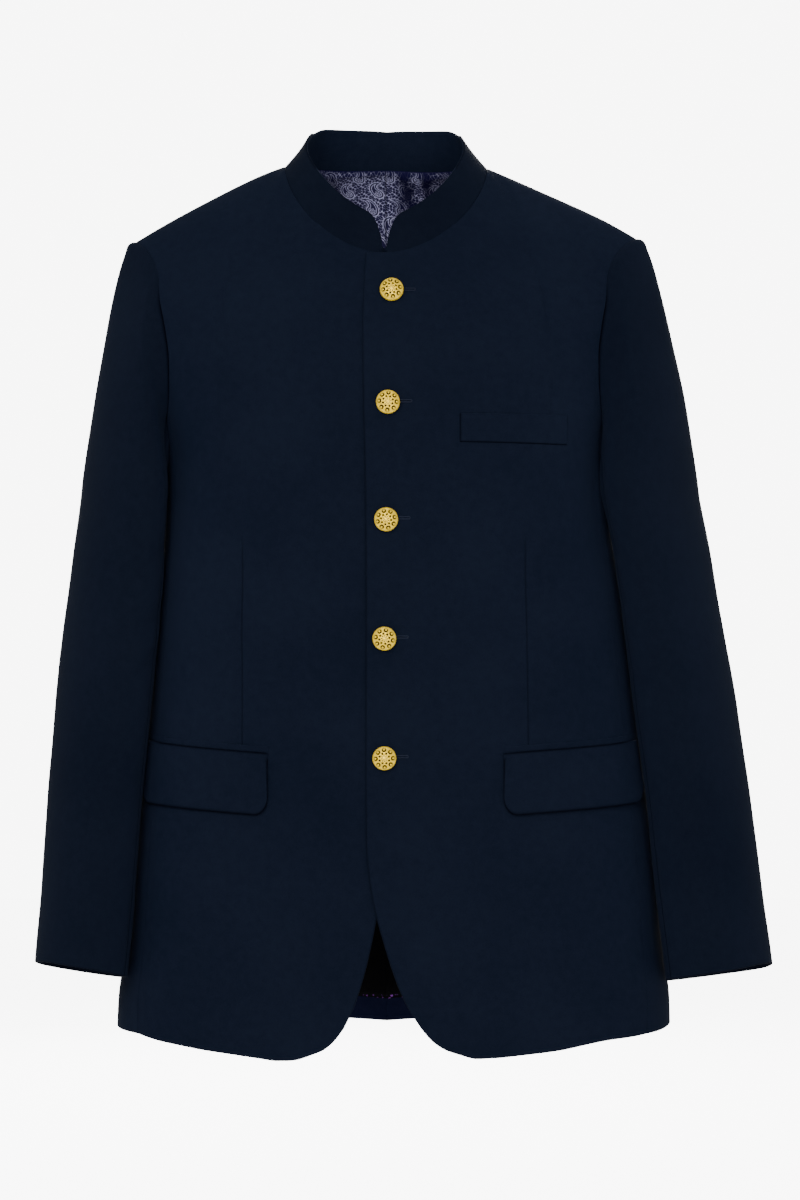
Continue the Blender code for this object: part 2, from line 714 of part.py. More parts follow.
def add_flap(half, collection):
    """Pocket flap, and the piped jet that it hangs from."""
    name = side_name(half)
    cells, rows = FLAP_CELLS

    def drop_at(part):
        def drop(share):
            from_end = min(share, 1 - share) * FLAP_LENGTH
            corner = max(1 - from_end / FLAP_CORNER, 0.0)
            rounding = FLAP_CORNER * (1 - sqrt(1 - corner * corner))
            return part * (FLAP_HEIGHT - rounding)
        return drop

    places = pocket_places(half, [drop_at(part) for part in spread(rows)], cells)
    points, normals = half.cloth(places, WALL + LAID_GAP)
    material = cloth_material("flap_cloth_" + name)
    add_panel("flap_" + name, points, normals * -WALL, material, collection)

    drops = [lambda share: -SEAM_GAP - JET_HEIGHT, lambda share: -SEAM_GAP]
    points, normals = half.cloth(pocket_places(half, drops, cells), WELT_WALL + LAID_GAP)
    material = cloth_material("jet_cloth_" + name)
    add_panel("jet_" + name, points, normals * -WELT_WALL, material, collection)


def add_welt(half, collection):
    """Chest pocket's welt."""
    cells, rows = WELT_CELLS
    places = []
    for part in spread(rows):
        row = []
        for share in spread(cells):
            bottom = WELT_BOTTOM["front"] + (WELT_BOTTOM["rear"] - WELT_BOTTOM["front"]) * share
            across = WELT_FRONT_X + (WELT_REAR_X - WELT_FRONT_X) * share
            row.append(half.at_x(across, WELT_TOP + (bottom - WELT_TOP) * part))
        places.append(row)
    points, normals = half.cloth(places, WALL + LAID_GAP)
    add_panel("chest_welt", points, normals * -WALL, cloth_material("welt_cloth"), collection)


def add_buttons(half, front, collection):
    """Domed shank buttons, each a turned profile that stands square to the cloth."""
    turns = [pi / 2 * share for share in spread(DOME_CELLS)]
    rim = SHANK_HEIGHT + BUTTON_RIM
    profile = [(BUTTON_RADIUS * sin(turn), rim + (BUTTON_HEIGHT - rim) * cos(turn)) for turn in turns]
    profile += [(BUTTON_RADIUS - BUTTON_INSET, SHANK_HEIGHT)]
    profile += [(SHANK_RADIUS, SHANK_HEIGHT), (SHANK_RADIUS, 0.0), (0.0, 0.0)]
    corners = [vertex.co for vertex in front.data.vertices]
    cloth = BVHTree.FromPolygons(corners, [face.vertices for face in front.data.polygons])
    for index, row in enumerate(BUTTONS, start=1):
        name = f"button_{index}"
        mesh = bpy.data.meshes.new(name)
        edges = [(step, step + 1) for step in range(len(profile) - 1)]
        mesh.from_pydata([(radius, 0.0, height) for radius, height in profile], edges, [])
        material = add_material(name + "_brass", (0.80, 0.55, 0.22), 0.32, 1.0)
        piece = add_object(name, mesh, material, collection)
        turned = piece.modifiers.new("turned", "SCREW")
        turned.steps = turned.render_steps = BUTTON_SIDES
        turned.use_merge_vertices = True
        turned.merge_threshold = 0.00001
        place = half.at_x(row.across, row.level)
        normal = Vector(half.normal(*place))
        seat, _, _, _ = cloth.ray_cast(Vector(half.point(*place)) + normal * BUTTON_HEIGHT, -normal)
        piece.rotation_mode = "QUATERNION"
        piece.rotation_quaternion = normal.to_track_quat("Z", "Y")
        piece.location = seat + normal * SEAM_GAP


def main():
    for old in list(bpy.data.objects):
        bpy.data.objects.remove(old)
    collection = bpy.data.collections.new(COLLECTION)
    bpy.context.scene.collection.children.link(collection)
    left, right = TorsoSide(+1), TorsoSide(-1)
    halves = (left, right)
    add_torso(halves, collection)
    for half in halves:
        add_sleeve(half, collection)
        add_flap(half, collection)
    add_collar(halves, collection)
    add_welt(left, collection)
    add_buttons(left, collection.objects["front_left"], collection)


main()
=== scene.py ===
"""Bandhgala jacket: the cloth, lining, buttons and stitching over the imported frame.

Metres, in the frame's axes: +Z up, the front faces -Y, the wearer's left is +X.
"""
from collections import namedtuple
from functools import reduce
from math import cos, pi, radians, sin, sqrt

import bmesh
import bpy
import numpy as np
from mathutils import Matrix, Vector


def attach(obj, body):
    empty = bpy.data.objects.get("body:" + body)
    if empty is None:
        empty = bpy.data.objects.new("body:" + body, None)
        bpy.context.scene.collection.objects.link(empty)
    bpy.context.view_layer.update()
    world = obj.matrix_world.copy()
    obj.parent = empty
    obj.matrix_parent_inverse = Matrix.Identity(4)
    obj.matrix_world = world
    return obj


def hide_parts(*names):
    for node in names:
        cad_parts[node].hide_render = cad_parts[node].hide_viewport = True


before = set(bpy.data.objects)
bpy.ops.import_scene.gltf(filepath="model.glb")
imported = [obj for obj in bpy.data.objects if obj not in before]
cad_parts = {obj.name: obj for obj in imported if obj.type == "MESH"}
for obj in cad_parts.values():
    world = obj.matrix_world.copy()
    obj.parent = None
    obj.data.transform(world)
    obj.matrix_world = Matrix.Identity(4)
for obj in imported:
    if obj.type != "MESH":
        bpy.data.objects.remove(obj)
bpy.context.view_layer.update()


def table(columns, rows):
    """Rows of numbers, with a name for each column."""
    row = namedtuple("Row", columns)
    return [row(*values) for values in rows]


# Walls, seams and what is laid on the cloth. CAD_WALL is the part's own wall, and the
# pieces here have these thicknesses
CAD_WALL = 0.0020
THICKNESS = {"cloth": 0.0022, "collar": 0.0024, "jet": 0.0014, "welt": 0.0018, "lining": 0.0010}
SEAM_GAP = 0.0003
SEAM_MEET = 0.00015
LAID_GAP = 0.0009
CELL = 0.0036
EDGE_OFFSETS = (0.0, 0.00012, 0.00035, 0.0007, 0.0011, 0.0018, 0.0030)
EDGE_ZONE = 0.0031
DART_OFFSETS = (0.0, 0.0004, 0.0009, 0.0016, 0.0028)

# Rough lengths of the panels' edges, from which their cells are counted
LENGTH = {"seam": 0.52, "edge": 0.017, "front neck": 0.135, "front shoulder": 0.135, "front armhole": 0.19,
          "back neck": 0.12, "back shoulder": 0.13, "back armhole": 0.22, "side": 0.11, "front": 0.24,
          "top": 0.245, "under": 0.110, "cap": 0.135, "arm": 0.410,
          "collar front": 0.167, "collar back": 0.126, "collar": 0.036}

# Torso: half widths to the wearer's left and right, and depths from the shoulder line
TORSO = table("level left right front back", [
    (-0.760, 0.2465, 0.2345, 0.118, 0.097),
    (-0.717, 0.2455, 0.2325, 0.122, 0.101),
    (-0.662, 0.2390, 0.2240, 0.125, 0.104),
    (-0.592, 0.2325, 0.2180, 0.127, 0.104),
    (-0.530, 0.2245, 0.2120, 0.128, 0.098),
    (-0.460, 0.2155, 0.2050, 0.129, 0.090),
    (-0.373, 0.2045, 0.1975, 0.132, 0.087),
    (-0.310, 0.1950, 0.1930, 0.137, 0.098),
    (-0.250, 0.1915, 0.1915, 0.139, 0.112),
    (-0.222, 0.1965, 0.1965, 0.139, 0.117),
    (-0.194, 0.2003, 0.2003, 0.135, 0.119),
    (-0.165, 0.2066, 0.2066, 0.128, 0.120),
    (-0.140, 0.2158, 0.2158, 0.121, 0.120),
    (-0.115, 0.2275, 0.2275, 0.112, 0.121),
    (-0.094, 0.2350, 0.2350, 0.102, 0.123),
    (-0.062, 0.2450, 0.2450, 0.091, 0.128),
    (-0.030, 0.2500, 0.2500, 0.086, 0.137),
    (+0.020, 0.2500, 0.2500, 0.084, 0.163),
])
TORSO_POWER = 2.45
TORSO_ROLL = 0.150
RIDGE_Y = 0.005
RIDGE_TOP = 0.0353
RIDGE_SLOPE = 0.302
RIDGE_BEND = 0.646
RIDGE_SOFT = 0.030
SHOULDER_TIP = 0.217
SHOULDER_LIFT = table("across left right", [
    (0.000, 0.0000, 0.0000),
    (0.087, 0.0000, 0.0018),
    (0.108, 0.0000, 0.0023),
    (0.131, 0.0002, 0.0019),
    (0.151, 0.0009, 0.0015),
    (0.172, 0.0021, 0.0012),
    (0.193, 0.0030, 0.0008),
    (0.217, 0.0028, 0.0000),
])

# Neckline and collar
NECK_HALF = 0.087
NECK_DROP = 0.080
NECK_POWER = 1.75
NECK_BACK = 0.073
FRONT_NECK_POWER = 1.12
NECK_FAN = 2.8
NECK_FAN_REACH = 0.28
NECK_FAN_POWER = 4
COLLAR_START = {+1: 0.0019, -1: 0.0057}
COLLAR_END = 0.0006
COLLAR_CELL = 0.0030
COLLAR_CORNER = 0.030
COLLAR = table("level lean height", [
    (0.00, radians(30), 0.0345),
    (0.35, radians(13), 0.0315),
    (0.70, radians(18), 0.0320),
    (1.00, radians(40), 0.0368),
    (1.40, radians(30), 0.0424),
    (2.00, radians(11), 0.0350),
])

# Armhole, seen from the side
ARMHOLE_MIDDLE = -0.1560
ARMHOLE_HALF = 0.0935
ARMHOLE_FRONT = {+1: 0.075, -1: 0.070}
ARMHOLE_BACK = 0.072
ARMHOLE_EGG = 0.12
FRONT_SEAM_TURN = radians(130)
BACK_SEAM_TURN = radians(235)

# Front edges: how far past the middle each front reaches, then the cutaway and the hem
EDGE_COLUMNS = "level over under"
FRONT_EDGE = table(EDGE_COLUMNS, [
    (-0.7315, 0.0300, 0.0350),
    (-0.7150, 0.0195, 0.0272),
    (-0.6970, 0.0110, 0.0210),
    (-0.6760, 0.0035, 0.0152),
    (-0.6560, -0.0025, 0.0108),
    (-0.6380, -0.0075, 0.0072),
    (-0.6100, -0.0130, 0.0010),
    (-0.5750, -0.0160, -0.0080),
    (-0.5200, -0.0165, -0.0165),
    (-0.3000, -0.0165, -0.0165),
    (-0.0805, -0.0165, -0.0165),
])
FRONT_HEM = table(EDGE_COLUMNS, [
    (-0.7315, 0.0300, 0.0350),
    (-0.7435, 0.0410, 0.0445),
    (-0.7500, 0.0530, 0.0550),
    (-0.7548, 0.0700, 0.0710),
    (-0.7558, 0.0900, 0.0900),
    (-0.7540, 0.1070, 0.1070),
    (-0.7500, 0.1430, 0.1430),
    (-0.7448, 0.1860, 0.1860),
])
# How far the fronts' hems hang below that line and out to where, where that starts and over
# what width it ends, and small trims of it at distances from the middle
HEM_FALL = {+1: (0.0017, 0.190), -1: (0.0030, 0.245)}
HEM_FALL_START = (0.035, 0.095)
HEM_FALL_END = 0.09
HEM_TRIM = {+1: ((0.074, 0.088, 0.122, 0.137, 0.160, 0.183, 0.209, 0.227, 0.240, 0.260),
                 (0.0, -0.0010, 0.0004, 0.0013, 0.0009, 0.0001, -0.0017, -0.0021, -0.0010, 0.0)),
            -1: ((0.0, 1.0), (0.0, 0.0))}

# Levels of the other hems, and where the side seams meet them
SIDE_HEM_FRONT = -0.7418
SIDE_HEM_BACK = -0.7410
SIDE_HEM_RISE = {+1: 0.0027, -1: 0.0003}
BACK_HEM = -0.7503
LINING_RISE = 0.0170
FRONT_SEAM_HEM_Y = -0.060
BACK_SEAM_HEM_Y = 0.050

# The front that lies beneath steps in by this, between these distances from the middle
UNDER_STEP = CAD_WALL + 0.0014
UNDER_FROM = 0.060
UNDER_TO = 0.034

# Sleeves: how near the body and how far out each ring reaches, on either side
SLEEVE = table("level left_inner left_outer right_inner right_outer middle_y half_depth lift", [
    (-0.285, 0.1865, 0.2730, 0.1850, 0.2680, -0.0225, 0.0770, 0.0000),
    (-0.373, 0.2000, 0.2875, 0.1918, 0.2775, -0.027, 0.0680, 0.0010),
    (-0.460, 0.2110, 0.3020, 0.1999, 0.2860, -0.032, 0.0655, 0.0025),
    (-0.530, 0.2205, 0.3120, 0.2065, 0.2908, -0.036, 0.0630, 0.0040),
    (-0.600, 0.2280, 0.3205, 0.2120, 0.2952, -0.041, 0.0600, 0.0060),
    (-0.692, 0.2385, 0.3310, 0.2198, 0.3018, -0.048, 0.0570, 0.0078),
])
SLEEVE_TURN = radians(24)
CUFF_SWING = 0.004
CUFF_RAISE = {+1: 0.0, -1: 0.0030}
CUFF_CORNER = {+1: 0.0030, -1: 0.0012}
HEAD_REACH = {"top": 0.005, "middle": 0.013, "sides": 0.009}
HEAD_SPREAD = 0.25
HEAD_RISE = 0.06
HEAD_FALL = 0.90
CAP_RUN = {"top": 0.110, "under": 0.012}
CAP_SLANT = 0.10

# Pockets and buttons
FLAP_FRONT_X = 0.098
FLAP_REAR_Y = -0.042
FLAP_TOP = {"front": -0.5010, "rear": -0.4930}
FLAP_HEIGHT = 0.0525
FLAP_LENGTH = 0.150
FLAP_CORNER = 0.0155
FLAP_CELL = 0.0028
JET_HEIGHT = 0.0050
JET_OUT = 0.0007
JET_CELL = 0.0012
WELT_FRONT_X = 0.0617
WELT_REAR_X = 0.1515
WELT_TOP = -0.2180
WELT_BOTTOM = {"front": -0.2415, "rear": -0.2428}
WELT_HEIGHT = 0.024
WELT_OUT = 0.0016
WELT_CELL = 0.0026
BUTTONS = table("across level", [
    (0.0050, -0.1140),
    (0.0020, -0.2090),
    (0.0005, -0.3060),
    (-0.0010, -0.4050),
    (-0.0010, -0.5046),
])
BUTTON_SPINS = (0.00, 0.22, -0.10, 0.35, 0.12)
BUTTON_RADIUS = 0.0100
BUTTON_HEIGHT = 0.0085
BUTTON_RIM = 0.0014
SHANK_RADIUS = 0.0028
SHANK_HEIGHT = 0.0022
PIP_HEIGHT = 0.00026
BUTTON_SEAT = SEAM_GAP - 0.0002
# Rings of the button under its dome, from the rim in to the shank's foot
BUTTON_UNDER = [
    (BUTTON_RADIUS, SHANK_HEIGHT + BUTTON_RIM - 0.0006),
    (BUTTON_RADIUS - 0.0003, SHANK_HEIGHT + 0.0002),
    (BUTTON_RADIUS - 0.0009, SHANK_HEIGHT),
    (SHANK_RADIUS + 0.0010, SHANK_HEIGHT),
    (SHANK_RADIUS, SHANK_HEIGHT - 0.0006),
    (SHANK_RADIUS, 0.0),
]

# Buttonholes: where each starts from its button, its size, and its thread
HOLE_START = -0.0030
HOLE_RISE = 0.0012
HOLE_LENGTH = 0.0228
HOLE_HALF = 0.00090
HOLE_PLACES = 259
THREAD_OUT = 0.0001
THREAD_RADIUS = 0.00050
STITCH = 0.00085
STITCH_SWELL = 0.00009

# Camera: as far off as the photograph's perspective says, square to the front
CAMERA_PLACE = (0.012, -3.0, -0.373)
VIEW_HEIGHT = 1200 * 0.000868
SENSOR_HEIGHT = 24.0


def smooth_curve(places, values):
    """Smooth curve through rising places, which never overshoots their values."""
    places, values = np.array(places, float), np.array(values, float)
    steps = np.diff(places)
    slopes = np.diff(values) / steps
    inner = [2 * a * b / (a + b) if a * b > 0 else 0.0 for a, b in zip(slopes, slopes[1:])]
    tangents = np.array([slopes[0]] + inner + [slopes[-1]])

    def value(place):
        index = np.clip(np.searchsorted(places, place, side="right") - 1, 0, len(steps) - 1)
        t = np.clip((place - places[index]) / steps[index], 0.0, 1.0)
        rise = t * t * (3 - 2 * t)
        lead = t * (1 - t) ** 2 * tangents[index] * steps[index]
        trail = t * t * (t - 1) * tangents[index + 1] * steps[index]
        return values[index] + rise * (values[index + 1] - values[index]) + lead + trail

    return value


def column(rows, name):
    """One column of a table as a smooth curve over its level."""
    rows = sorted(rows, key=lambda row: row.level)
    return smooth_curve([row.level for row in rows], [getattr(row, name) for row in rows])


def together(*values):
    """Numbers and arrays, all made arrays of the same shape."""
    return np.broadcast_arrays(*(np.asarray(value, float) for value in values))


def solve(function, low, high, shape):
    """Places between low and high where a rising function crosses zero."""
    low, high = np.full(shape, low, float), np.full(shape, high, float)
    for _ in range(36):
        middle = (low + high) / 2
        below = function(middle) < 0
        low, high = np.where(below, middle, low), np.where(below, high, middle)
    return (low + high) / 2


def smooth_step(value):
    """Soft step from 0 to 1, as the value goes from 0 to 1."""
    value = np.clip(value, 0.0, 1.0)
    return value * value * (3 - 2 * value)


def rise(value, start, end):
    """Soft step from 0 where the value is at the start to 1 where it is at the end."""
    return smooth_step((value - start) / (end - start))


def bell(value, width):
    """1 where the value is 0, and less the more widths it is away."""
    return np.exp(-(value / width) ** 2)


def peak(value, height, width):
    """The height where the value is 0, and less the more widths it is away."""
    return height * bell(value, width)


def least(*values):
    """The smallest of some arrays at each place."""
    return reduce(np.minimum, values)


def most(*values):
    """The largest of some arrays at each place."""
    return reduce(np.maximum, values)


def unit(ways):
    """Directions with a length of 1."""
    return ways / np.maximum(np.linalg.norm(ways, axis=-1, keepdims=True), 1e-12)


def fractions(length, cell):
    """Fractions of a length, close together at both ends."""
    offsets = [sign * offset for offset in EDGE_OFFSETS for sign in (-1, 1)]
    marks = {place + offset for place in (0.0, length) for offset in offsets}
    marks = sorted(mark for mark in marks if -1e-9 <= mark <= length + 1e-9)
    filled = [0.0]
    for mark in marks[1:]:
        start = filled[-1]
        steps = max(1, round((mark - start) / cell))
        filled += [start + (mark - start) * (step + 1) / steps for step in range(steps)]
    return np.array(filled) / length


def running_lengths(line):
    """Distances of a line's points from its start, along it."""
    return np.concatenate([[0.0], np.cumsum(np.linalg.norm(np.diff(line, axis=0), axis=1))])


def along(points, shares):
    """Points at shares of the length of a smooth line through the given points."""
    points = np.array(points, float)
    lengths = running_lengths(points)
    curves = [smooth_curve(lengths, points[:, axis]) for axis in range(points.shape[1])]
    return np.stack([curve(np.asarray(shares) * lengths[-1]) for curve in curves], axis=-1)


def ridge_level(across):
    """Height of the shoulder line at a distance from the middle."""
    out = np.hypot(across, RIDGE_SOFT)
    return RIDGE_TOP - RIDGE_SLOPE * out - RIDGE_BEND * out * out


class TorsoSide:
    """Half of the torso's surface. A place on it is an angle round the body, from
    -90 degrees at centre front to +90 at centre back, and a drop down the cloth
    from the shoulder line."""

    def __init__(self, side):
        self.side = side
        self.half_width = column(TORSO, "left" if side > 0 else "right")
        self.front = column(TORSO, "front")
        self.back = column(TORSO, "back")
        lifts = [row.left if side > 0 else row.right for row in SHOULDER_LIFT]
        self.lift = smooth_curve([row.across for row in SHOULDER_LIFT], lifts)

    def ridge(self, across):
        """Height of this side's shoulder line."""
        return ridge_level(across) + self.lift(across)

    def ring(self, angle, level):
        """Distances from the middle and from the shoulder's plane at an angle of a level's ring."""
        across, depth = np.cos(angle), np.sin(angle)
        reach = np.where(depth < 0, self.front(level), self.back(level))
        total = (np.abs(across) / self.half_width(level)) ** TORSO_POWER
        total = total + (np.abs(depth) / reach) ** TORSO_POWER
        radius = total ** (-1 / TORSO_POWER)
        return radius * across, radius * depth

    def roll(self, across, level):
        """Share of the full depth that the shoulder's roll has reached at a level."""
        share = np.clip((self.ridge(across) - level) / TORSO_ROLL, 0.0, 1.0)
        return np.sqrt(1 - (1 - share) ** 2)

    def drop(self, across, level):
        """Way down the cloth from the shoulder line to a level."""
        fall = (self.ridge(across) - level) / TORSO_ROLL
        rolled = TORSO_ROLL * np.arccos(np.clip(1 - fall, 0.0, 1.0))
        return np.where(fall < 1, rolled, TORSO_ROLL * (pi / 2 + fall - 1))

    def point(self, angle, drop):
        """Point of a place."""
        turn = drop / TORSO_ROLL
        fall = np.where(turn < pi / 2, 1 - np.cos(turn), 1 + turn - pi / 2)
        level = -TORSO_ROLL * fall
        for _ in range(8):
            across, depth = self.ring(angle, level)
            level = self.ridge(across) - TORSO_ROLL * fall
        rolled = np.where(turn < pi / 2, np.sin(turn), 1.0)
        return np.stack([self.side * across, RIDGE_Y + depth * rolled, level], axis=-1)

    def normal(self, angle, drop):
        """Outward direction of the cloth."""
        step = 0.002
        turned = self.point(angle + step, drop) - self.point(angle - step, drop)
        lowered = self.point(angle, drop + step) - self.point(angle, np.maximum(drop - step, 0.0))
        return unit(np.cross(turned, lowered) * -self.side)

    def angle_at(self, across, level, behind=False):
        """Angle at a distance from the middle, in front or behind."""
        if behind:
            return solve(lambda a: across - self.ring(a, level)[0], 0.0, pi / 2, across.shape)
        return solve(lambda a: self.ring(a, level)[0] - across, -0.75 * pi, 0.0, across.shape)

    def at_x(self, across, level):
        """Places on the front at a distance from the middle."""
        across, level = together(across, level)
        return np.stack([self.angle_at(across, level), self.drop(across, level)], axis=-1)

    def at_y(self, y, level):
        """Places on the front or back at a depth."""
        y, level = together(y, level)

        def miss(angle):
            across, depth = self.ring(angle, level)
            return RIDGE_Y + depth * self.roll(across, level) - y
        angle = solve(miss, -pi / 2, pi / 2, y.shape)
        return np.stack([angle, self.drop(self.ring(angle, level)[0], level)], axis=-1)

    def at_plan(self, across, y):
        """Places on the shoulder or upper back, found from above."""
        across, y = together(across, y)
        level = np.zeros(across.shape)
        for _ in range(12):
            angle = self.angle_at(across, level, behind=True)
            share = (y - RIDGE_Y) / self.ring(angle, level)[1]
            level = self.ridge(across) - TORSO_ROLL * (1 - np.sqrt(np.maximum(1 - share * share, 0.0)))
        return np.stack([angle, self.drop(across, level)], axis=-1)

    def shoulder(self, across, behind=False):
        """Places on the shoulder line, as the front's own or the back's."""
        across = np.asarray(across, float)
        angle = self.angle_at(across, self.ridge(across), behind)
        return np.stack([angle, np.zeros(across.shape)], axis=-1)

    def armhole(self, turn, behind=False):
        """Places on the armhole, from the tip of the shoulder forward and round."""
        turn = np.asarray(turn, float)
        reach = np.where(np.sin(turn) > 0, ARMHOLE_FRONT[self.side], ARMHOLE_BACK)
        y = RIDGE_Y - reach * np.sin(turn) * (1 - ARMHOLE_EGG * np.cos(turn))
        lift = self.lift(SHOULDER_TIP) * ((1 + np.cos(turn)) / 2) ** 2
        places = self.at_y(y, ARMHOLE_MIDDLE + ARMHOLE_HALF * np.cos(turn) + lift)
        at_tip = (np.abs(np.sin(turn)) < 1e-6) & (np.cos(turn) > 0)
        return np.where(at_tip[..., None], self.shoulder(SHOULDER_TIP, behind), places)


def coons(bottom, top, start, end, u, v):
    """Grid of places that fills the space between four edges."""
    u, v = u[None, :, None], v[:, None, None]
    ruled = (1 - v) * bottom[None] + v * top[None] + (1 - u) * start[:, None] + u * end[:, None]
    corners = (1 - v) * ((1 - u) * bottom[0] + u * bottom[-1])
    corners = corners + v * ((1 - u) * top[0] + u * top[-1])
    return ruled - corners


def within(fraction, start, share):
    """Where a fraction of the whole edge falls within one of its stretches."""
    return np.clip((fraction - start) / share, 0.0, 1.0)


# Shares of the panels' edges: the side seam up to the armhole, the top of the front edge,
# the front neckline and the back neckline
SEAM_SHARE = 14 / 24
EDGE_SHARE = 1 / 15
NECK_SHARE = 8 / 15
BACK_NECK_SHARE = 6 / 12


def plain(length, cell, before=True, after=True):
    """Even fractions, close together only at the ends that are edges of the piece."""
    low = 0.0 if before else EDGE_ZONE / length
    high = 1.0 if after else 1 - EDGE_ZONE / length
    kept = [share for share in fractions(length, cell) if low <= share <= high or share in (0.0, 1.0)]
    return np.array(kept)


def stretches(cell, shares):
    """Fractions of an edge made of named stretches, each with its own share of it."""
    names, joined, start = list(shares), [np.array([0.0])], 0.0
    for name, share in shares.items():
        inner = plain(LENGTH[name], cell, name == names[0], name == names[-1])
        joined.append(start + share * inner[1:])
        start += share
    joined = np.concatenate(joined)
    joined[-1] = 1.0
    return joined


def front_neck(half, share):
    """Places on the front neckline, from the collar's end to the shoulder seam."""
    turn = pi / 2 * np.asarray(share, float) ** FRONT_NECK_POWER
    first = COLLAR_START[half.side] / NECK_HALF
    across = NECK_HALF * np.maximum(np.sin(turn) ** (2 / NECK_POWER), first)
    depth = NECK_DROP + half.ridge(NECK_HALF)
    level = half.ridge(NECK_HALF) - depth * np.cos(turn) ** (2 / NECK_POWER)
    places = half.at_x(across, level)
    return np.where((turn > pi / 2 - 1e-9)[..., None], half.shoulder(NECK_HALF), places)


def back_neck(half, share):
    """Places on the back neckline, from centre back to the shoulder seam."""
    turn = pi / 2 * np.asarray(share, float)
    places = half.at_plan(NECK_HALF * np.sin(turn), RIDGE_Y + NECK_BACK * np.cos(turn))
    return np.where((turn > pi / 2 - 1e-9)[..., None], half.shoulder(NECK_HALF, behind=True), places)


def shoulder_places(half, share, behind):
    """Places on the shoulder seam, from the neck to the tip."""
    across = NECK_HALF + (SHOULDER_TIP - NECK_HALF) * np.asarray(share)
    return half.shoulder(across, behind)


# Levels between which a row begins to follow the dart's line, and those between which the
# columns beside it spread out
LINE_LEVELS = (-0.24, -0.30)
SPREAD_LEVELS = (-0.31, -0.26)


def follow_line(half, places, u, column_at, line):
    """Slides each row so that one of its columns runs down a given line of x over level,
    below the chest. Above it, the columns beside that one spread out evenly."""
    moved = places.copy()
    first, last = column_at - len(DART_OFFSETS), column_at + len(DART_OFFSETS)
    place, evened = u[column_at], u.copy()
    evened[first:last + 1] = np.linspace(u[first], u[last], last - first + 1)
    for row in range(len(places)):
        points = half.point(places[row, :, 0], places[row, :, 1])
        across = np.abs(points[:, 0])
        level = points[column_at, 2]
        shift = (np.interp(line(level), across, u) - place) * rise(level, *LINE_LEVELS)
        weight = np.where(u < place, u / place, (1 - u) / (1 - place))
        slid = u + (evened - u) * rise(level, *SPREAD_LEVELS) + shift * weight
        for axis in range(2):
            moved[row, :, axis] = np.interp(slid, u, places[row, :, axis])
    return moved


DART_LINE = {+1: smooth_curve([-0.76, -0.50, -0.32, 0.05], [0.1195, 0.1195, 0.1170, 0.1130]),
             -1: smooth_curve([-0.76, -0.50, -0.32, 0.05], [0.1205, 0.1205, 0.1200, 0.1160])}
DART_PLACE = 0.5


def hem_fall(half, across):
    """How far the front's hem hangs below its table, between the cutaway and the side."""
    fall, reach = HEM_FALL[half.side]
    places, trims = HEM_TRIM[half.side]
    fall = fall * float(rise(across, *HEM_FALL_START) * smooth_step((reach - across) / HEM_FALL_END))
    return fall + float(np.interp(across, places, trims))


def front_places(half):
    """Grid of places of a front, from its edge to the side seam and from the hem up."""
    name = "over" if half.side > 0 else "under"
    seam_top = half.armhole(FRONT_SEAM_TURN)
    seam_foot = half.at_y(FRONT_SEAM_HEM_Y, SIDE_HEM_FRONT)
    hem = [(getattr(row, name), row.level) for row in FRONT_HEM]
    hem = [half.at_x(across, level - hem_fall(half, across)) for across, level in hem] + [seam_foot]
    edge = [half.at_x(getattr(row, name), row.level) for row in FRONT_EDGE]

    shoulder_share = 1 - EDGE_SHARE - NECK_SHARE
    u = stretches(CELL, {"edge": EDGE_SHARE, "front neck": NECK_SHARE, "front shoulder": shoulder_share})
    dart = [DART_PLACE + sign * offset / LENGTH["front"] for offset in DART_OFFSETS for sign in (-1, 1)]
    u = np.unique(np.concatenate([u[np.abs(u - DART_PLACE) > CELL / LENGTH["front"]], dart]))
    v = stretches(CELL, {"seam": SEAM_SHARE, "front armhole": 1 - SEAM_SHARE})

    bottom, start = along(hem, u), along(edge, v)
    lower = along([seam_foot, seam_top], within(v, 0.0, SEAM_SHARE))
    turns = FRONT_SEAM_TURN * (1 - within(v, SEAM_SHARE, 1 - SEAM_SHARE))
    end = np.where((v <= SEAM_SHARE)[:, None], lower, half.armhole(turns))
    neck = front_neck(half, within(u, EDGE_SHARE, NECK_SHARE))
    flat = start[-1] + (neck[0] - start[-1]) * within(u, 0.0, EDGE_SHARE)[:, None]
    neck_point = EDGE_SHARE + NECK_SHARE
    ridge = shoulder_places(half, within(u, neck_point, shoulder_share), False)
    top = np.where((u <= EDGE_SHARE)[:, None], flat, np.where((u <= neck_point)[:, None], neck, ridge))
    places = coons(bottom, top, start, end, u, v)
    below = 1 - v
    lean = NECK_FAN * below * (1 - below) * np.exp(-below / NECK_FAN_REACH)
    fan = np.minimum((u / neck_point) ** NECK_FAN_POWER, (1 - u) / (1 - neck_point))
    places[..., 0] += lean[:, None] * fan[None]
    middle = int(np.argmin(np.abs(u - DART_PLACE)))
    return follow_line(half, places, u, middle, DART_LINE[half.side])


def hem_places(half, angles, levels, shares, rise=0.0):
    """Places on a hem between two angles, whose level changes evenly between its ends
    and rises a little in its middle."""
    angle = angles[0] + (angles[1] - angles[0]) * shares
    level = levels[0] + (levels[1] - levels[0]) * shares + rise * np.sin(pi * shares) ** 2
    return np.stack([angle, half.drop(half.ring(angle, level)[0], level)], axis=-1)


def back_shares(cell):
    """Fractions across a back, from its centre seam to the side seam."""
    return stretches(cell, {"back neck": BACK_NECK_SHARE, "back shoulder": 1 - BACK_NECK_SHARE})


